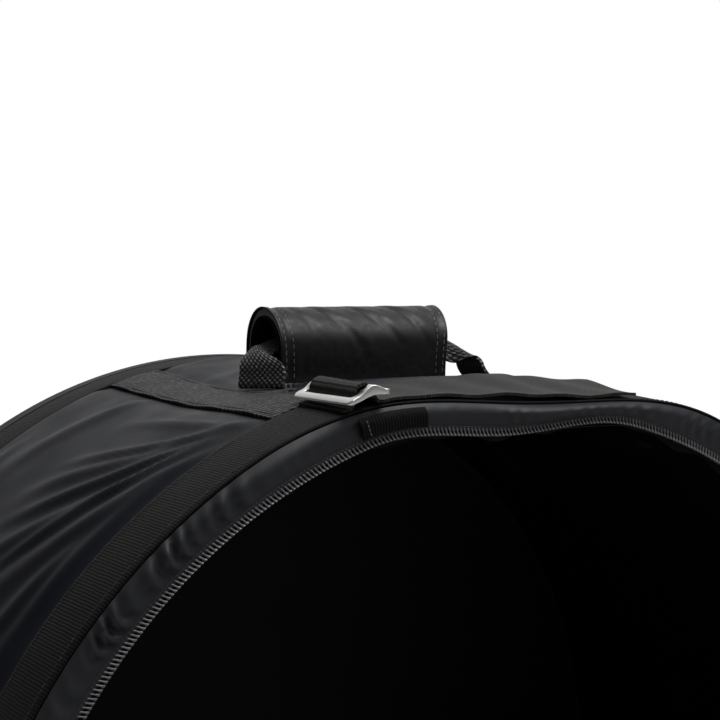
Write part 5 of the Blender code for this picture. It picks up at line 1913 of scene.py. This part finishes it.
@dataclass
class Lid:
    """The round padded lid, laid open on the floor on its outer side, with its half of the zipper."""

    centre_y: float = -499.7 * MM
    radius: float = 290 * MM
    tape_inner: float = 284 * MM
    tape_outer: float = 295.4 * MM
    tooth_radius: float = 293.4 * MM
    zipper_end: float = 152.5
    crown: float = 16.1 * MM
    top: float = 17.9 * MM
    shut_height: float = 307.5 * MM
    zipper_room: float = 5.6 * MM
    tape_height: float = 17 * MM
    tooth_height: float = 15.4 * MM
    leaf_half: float = 65 * MM
    leaf_end: float = -211 * MM
    fold_y: float = -209.2 * MM
    fold_radius: float = 1.5 * MM

    def slack(self, angle: Array) -> Array:
        """How far the rim is drawn in, so that the shut lid's teeth lie inside the sunk line of the bag's."""
        around = np.radians(np.linspace(-180, 180, 1441))
        line = FORM.face_point(np.zeros_like(around), np.full_like(around, FrontFace().tooth_radius), around)
        across, up = line[:, 0], line[:, 2] - self.shut_height
        room = np.interp(angle, np.arctan2(across, up), np.hypot(across, up))
        short = self.tooth_radius + self.zipper_room - room
        drawn = (short + np.sqrt(short**2 + (1.0 * MM) ** 2)) / 2
        return drawn * (1 - ease(np.abs(np.degrees(angle)), 152.0, 164.0))

    def ring_point(self, radius: Array, angle: Array, height: Array) -> Array:
        """Points over the floor, their angle measured from the edge that is furthest from the bag."""
        radius = radius - self.slack(angle) * np.minimum(radius / self.radius, 1.0) ** 6
        x = radius * np.sin(angle)
        y = self.centre_y - radius * np.cos(angle)
        return np.stack([x, y, height], axis=1)

    def build_pad(self) -> Piece:
        """The outer cloth over its foam, flat on the floor with a round rim."""
        rim = np.radians(np.linspace(-90, 90, 12))
        height = self.crown
        flat = np.linspace(0, 0.955, 24)
        out = np.concatenate([flat, 0.955 + 0.045 * np.cos(rim), flat[::-1]])
        rise = np.concatenate([np.zeros(24), height / 2 * (1 + np.sin(rim)), np.full(24, height)])
        index = np.arange(len(out))

        def place(row: Array, angle: Array) -> ArrayPair:
            """Points of the pad's skin."""
            share = out[row]
            wave = 0.6 * MM * np.sin(angle * 9 + 8 * share) * np.sin(share * 14)
            lift = np.where(rise[row] <= 0, 0.0, wave * hump(rise[row], height / 2, height / 2))
            points = self.ring_point(share * self.radius, angle, rise[row] + lift)
            return points, points[:, :2]

        return lay_cloth("lid_shell_cloth", index, ring_angles(1.5, 1.5), place, closed=True)

    def build_lining(self) -> Piece:
        """The lining over the lid's inner side, with slack ripples."""
        shares = np.linspace(0.0, 1.0, 40)

        def place(row: Array, angle: Array) -> ArrayPair:
            """Points of the lining's middle sheet."""
            ripple = np.sin(row * 15 + 2.2 * np.sin(angle * 2 + 0.6)) * 0.8
            ripple = ripple + 0.6 * np.sin(angle * 7 + row * 9)
            height = self.top + 0.9 * MM + 0.9 * MM * ripple * row * (1 - row**6)
            points = self.ring_point(row * (self.radius - 1 * MM), angle, height)
            return points, points[:, :2]

        lining = lay_cloth("lid_lining_cloth", shares, ring_angles(1.5, 1.5), place)
        return thicken(merge_and_turn_out(lining), 0.8 * MM)

    def build_tape(self) -> Piece:
        """The lid's zipper tape."""
        angles = np.radians(np.linspace(-self.zipper_end, self.zipper_end, 400))
        shares = np.linspace(0.0, 1.0, 6)

        def place(row: Array, angle: Array) -> ArrayPair:
            """Points of the tape's middle sheet."""
            radius = self.tape_inner + (self.tape_outer - self.tape_inner) * row
            points = self.ring_point(radius, angle, np.full_like(row, self.tape_height))
            return points, np.stack([angle * self.tape_outer, radius], axis=1)

        return thicken(lay_cloth("lid_zipper_tape_cloth", shares, angles, place), 0.8 * MM)

    def build_teeth(self) -> Piece:
        """The lid's row of teeth, on the tape's outer side, which lies downwards."""
        angles = np.radians(np.linspace(-self.zipper_end, self.zipper_end, 900))
        height = np.full_like(angles, self.tooth_height)
        points = self.ring_point(np.full_like(angles, self.tooth_radius), angles, height)
        route = Route(points, np.tile([0.0, 0.0, -1.0], (len(angles), 1)))
        face = FrontFace()
        return repeat_along(face.tooth_unit(), "lid_zipper_coil_teeth", route, face.tooth_pitch)

    def build_leaf(self) -> Piece:
        """The cloth between the fold and the lid's rim."""
        across = np.linspace(-self.leaf_half, self.leaf_half, 40)
        shares = np.linspace(0.0, 1.0, 7)

        def place(row: Array, column: Array) -> ArrayPair:
            """Points of the leaf's middle sheet."""
            rim = self.centre_y + np.sqrt(self.tape_inner**2 - column**2)
            y = rim + (self.leaf_end - rim) * row
            height = self.tape_height + 0.25 * MM * np.sin(column / (9 * MM)) * hump(row, 0.5, 0.5)
            return np.stack([column, y, height], axis=1), np.stack([column, y], axis=1)

        return thicken(lay_cloth("lid_hinge_leaf_cloth", shares, across, place), 0.9 * MM)

    def build_fold(self) -> Piece:
        """The rolled binding that the lid turns on."""
        clear_selection()
        bpy.ops.mesh.primitive_cylinder_add(
            vertices=20,
            radius=self.fold_radius,
            depth=2 * self.leaf_half,
            location=(0, self.fold_y, self.tape_height),
            rotation=(0, math.pi / 2, 0),
        )
        fold = settle(start_piece("hinge_fold_roll"))
        planes = [(Vector((x * MM, 0, 0)), Vector((1, 0, 0))) for x in range(-60, 61, 3)]
        in_edit_mode(fold, lambda: cut_at(planes))
        return smooth(round_edges(fold, 0.4 * MM, 2, 60), 60)

    def build(self) -> None:
        """Makes, dresses and places the lid."""
        pad, lining, tape = self.build_pad(), self.build_lining(), self.build_tape()
        teeth, leaf, fold = self.build_teeth(), self.build_leaf(), self.build_fold()
        FLOOR_DISC_CLOTH.dress(pad)
        RIM_BINDING.dress(fold)
        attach(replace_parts(pad, "lid_shell", "lid_padding"), "lid")
        dressed = (
            (lining, DISC_LINING, "lid_lining"),
            (tape, TAPE, "lid_zipper_tape"),
            (teeth, COIL, "lid_zipper_coil"),
            (leaf, STRIP_CLOTH, "lid_hinge_leaf"),
        )
        for piece, finish, node in dressed:
            finish.dress(piece)
            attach(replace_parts(piece, node), "lid")
        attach(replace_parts(fold, "hinge_fold"), "bag")
        log.info("lid: pad, lining, tape, teeth, leaf and fold")


# Sliders


@dataclass
class Sliders:
    """The two metal sliders and their pulls, which keep their CAD shape."""

    words: tuple[str, ...] = ("left", "right")

    def build(self) -> None:
        """Dresses the sliders and pulls."""
        for word in self.words:
            NICKEL.dress(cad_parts[f"slider_{word}"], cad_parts[f"pull_{word}"])
        log.info("sliders: dressed")


# Stage


@dataclass
class Stage:
    """A plain pale floor, soft studio light and the photograph's camera."""

    floor_radius: float = 12.0
    floor_tone: float = 0.72
    camera_place: Triple = (-0.4845, -0.9327, 0.6497)
    azimuth: float = 28.2
    drop: float = 0.4
    roll: float = -1.4
    lens: float = 78.35
    dim: float = 0.012
    bright: float = 0.8
    bright_side: Triple = (0.30, -0.22, 0.93)
    bright_facing: Span = (0.35, 1.0)
    rear_bright: float = 0.9
    rear_side: Triple = (0.42, 0.84, 0.34)
    rear_facing: Span = (0.72, 0.97)
    lamp_place: Triple = (0.25, -0.5, 1.65)
    lamp_target: Triple = (0.0, -0.05, 0.62)
    lamp_size: float = 0.6
    lamp_power: float = 10.0

    def build_floor(self) -> None:
        """The floor, a thin plain disc whose top is at zero height."""
        clear_selection()
        bpy.ops.mesh.primitive_circle_add(
            vertices=96, radius=self.floor_radius, fill_type="NGON", location=(0, 0, -0.0005)
        )
        floor = settle(start_piece("floor"))
        material = bpy.data.materials.new("floor_paint")
        material.use_nodes = True
        shader = material.node_tree.nodes["Principled BSDF"]
        shader.inputs["Base Color"].default_value = (self.floor_tone, self.floor_tone, self.floor_tone, 1.0)
        shader.inputs["Roughness"].default_value = 0.9
        floor.data.materials.append(material)

    def glow(self, tree: bpy.types.NodeTree, view: Socket, side: Triple, facing: Span, level: Span) -> Socket:
        """Light that grows as a direction comes to face one side.

        Args:
            tree: The world's nodes.
            view: The direction.
            side: The side that the light comes from.
            facing: How squarely the direction faces it where the light starts, and where it is full.
            level: The least and the most light.

        Returns:
            The light's socket.
        """
        share = tree.nodes.new("ShaderNodeVectorMath")
        share.operation = "DOT_PRODUCT"
        share.inputs[1].default_value = side
        tree.links.new(view, share.inputs[0])
        light = tree.nodes.new("ShaderNodeMapRange")
        light.interpolation_type = "SMOOTHSTEP"
        for key, value in zip(("From Min", "From Max", "To Min", "To Max"), (*facing, *level)):
            light.inputs[key].default_value = value
        tree.links.new(share.outputs["Value"], light.inputs["Value"])
        return light.outputs["Result"]

    def build_world(self) -> None:
        """White behind the bag for the camera, and for the light a studio that darkens towards the camera."""
        world = bpy.data.worlds.new("studio")
        bpy.context.scene.world = world
        world.use_nodes = True
        tree = world.node_tree
        background = tree.nodes["Background"]
        view = tree.nodes.new("ShaderNodeTexCoord").outputs["Generated"]
        above = self.glow(tree, view, self.bright_side, self.bright_facing, (self.dim, self.bright))
        behind = self.glow(tree, view, self.rear_side, self.rear_facing, (0.0, self.rear_bright))
        total = tree.nodes.new("ShaderNodeMath")
        tree.links.new(above, total.inputs[0])
        tree.links.new(behind, total.inputs[1])
        path = tree.nodes.new("ShaderNodeLightPath")
        seen = tree.nodes.new("ShaderNodeMix")
        tree.links.new(path.outputs["Is Camera Ray"], seen.inputs[0])
        tree.links.new(total.outputs[0], seen.inputs[2])
        seen.inputs[3].default_value = 1.0
        tree.links.new(seen.outputs[0], background.inputs["Strength"])
        background.inputs["Color"].default_value = (1.0, 1.0, 1.0, 1.0)

    def build_lamp(self) -> None:
        """A soft square lamp over the bag's front."""
        lamp = bpy.data.lights.new("key", "AREA")
        lamp.shape = "SQUARE"
        lamp.size = self.lamp_size
        lamp.energy = self.lamp_power
        holder = bpy.data.objects.new("key", lamp)
        bpy.context.scene.collection.objects.link(holder)
        facing = (Vector(self.lamp_target) - Vector(self.lamp_place)).to_track_quat("-Z", "Y")
        holder.matrix_world = Matrix.Translation(self.lamp_place) @ facing.to_matrix().to_4x4()

    def build_camera(self) -> None:
        """The camera, a little above the bag's top and turned towards its left front."""
        azimuth, drop, roll = (math.radians(value) for value in (self.azimuth, self.drop, self.roll))
        flat = math.cos(drop)
        ahead = Vector((math.sin(azimuth) * flat, math.cos(azimuth) * flat, -math.sin(drop)))
        level = Vector((math.cos(azimuth), -math.sin(azimuth), 0.0))
        upright = level.cross(ahead)
        right = math.cos(roll) * level + math.sin(roll) * upright
        up = -math.sin(roll) * level + math.cos(roll) * upright
        camera = bpy.data.cameras.new("camera")
        camera.lens = self.lens
        camera.sensor_width = 36.0
        camera.clip_start = 0.01
        holder = bpy.data.objects.new("camera", camera)
        bpy.context.scene.collection.objects.link(holder)
        turn = Matrix((right, up, -ahead)).transposed().to_4x4()
        holder.matrix_world = Matrix.Translation(self.camera_place) @ turn
        bpy.context.scene.camera = holder

    def build(self) -> None:
        """Sets up the floor, light and camera."""
        self.build_floor()
        self.build_world()
        self.build_lamp()
        self.build_camera()
        bpy.context.scene.view_settings.view_transform = "Standard"
        log.info("stage: floor, light and camera")


def write_sizes() -> None:
    """Brings the scene's placements up to date."""
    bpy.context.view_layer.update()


def main() -> None:
    """Builds each sub-assembly in order."""
    logging.basicConfig(level=logging.INFO, format="%(message)s")
    Wall().build()
    BackPanel().build()
    Straps().build()
    FrontFace().build()
    Buckle().build()
    Handle().build()
    Lid().build()
    Sliders().build()
    Stage().build()
    write_sizes()


if __name__ == "__main__":
    main()
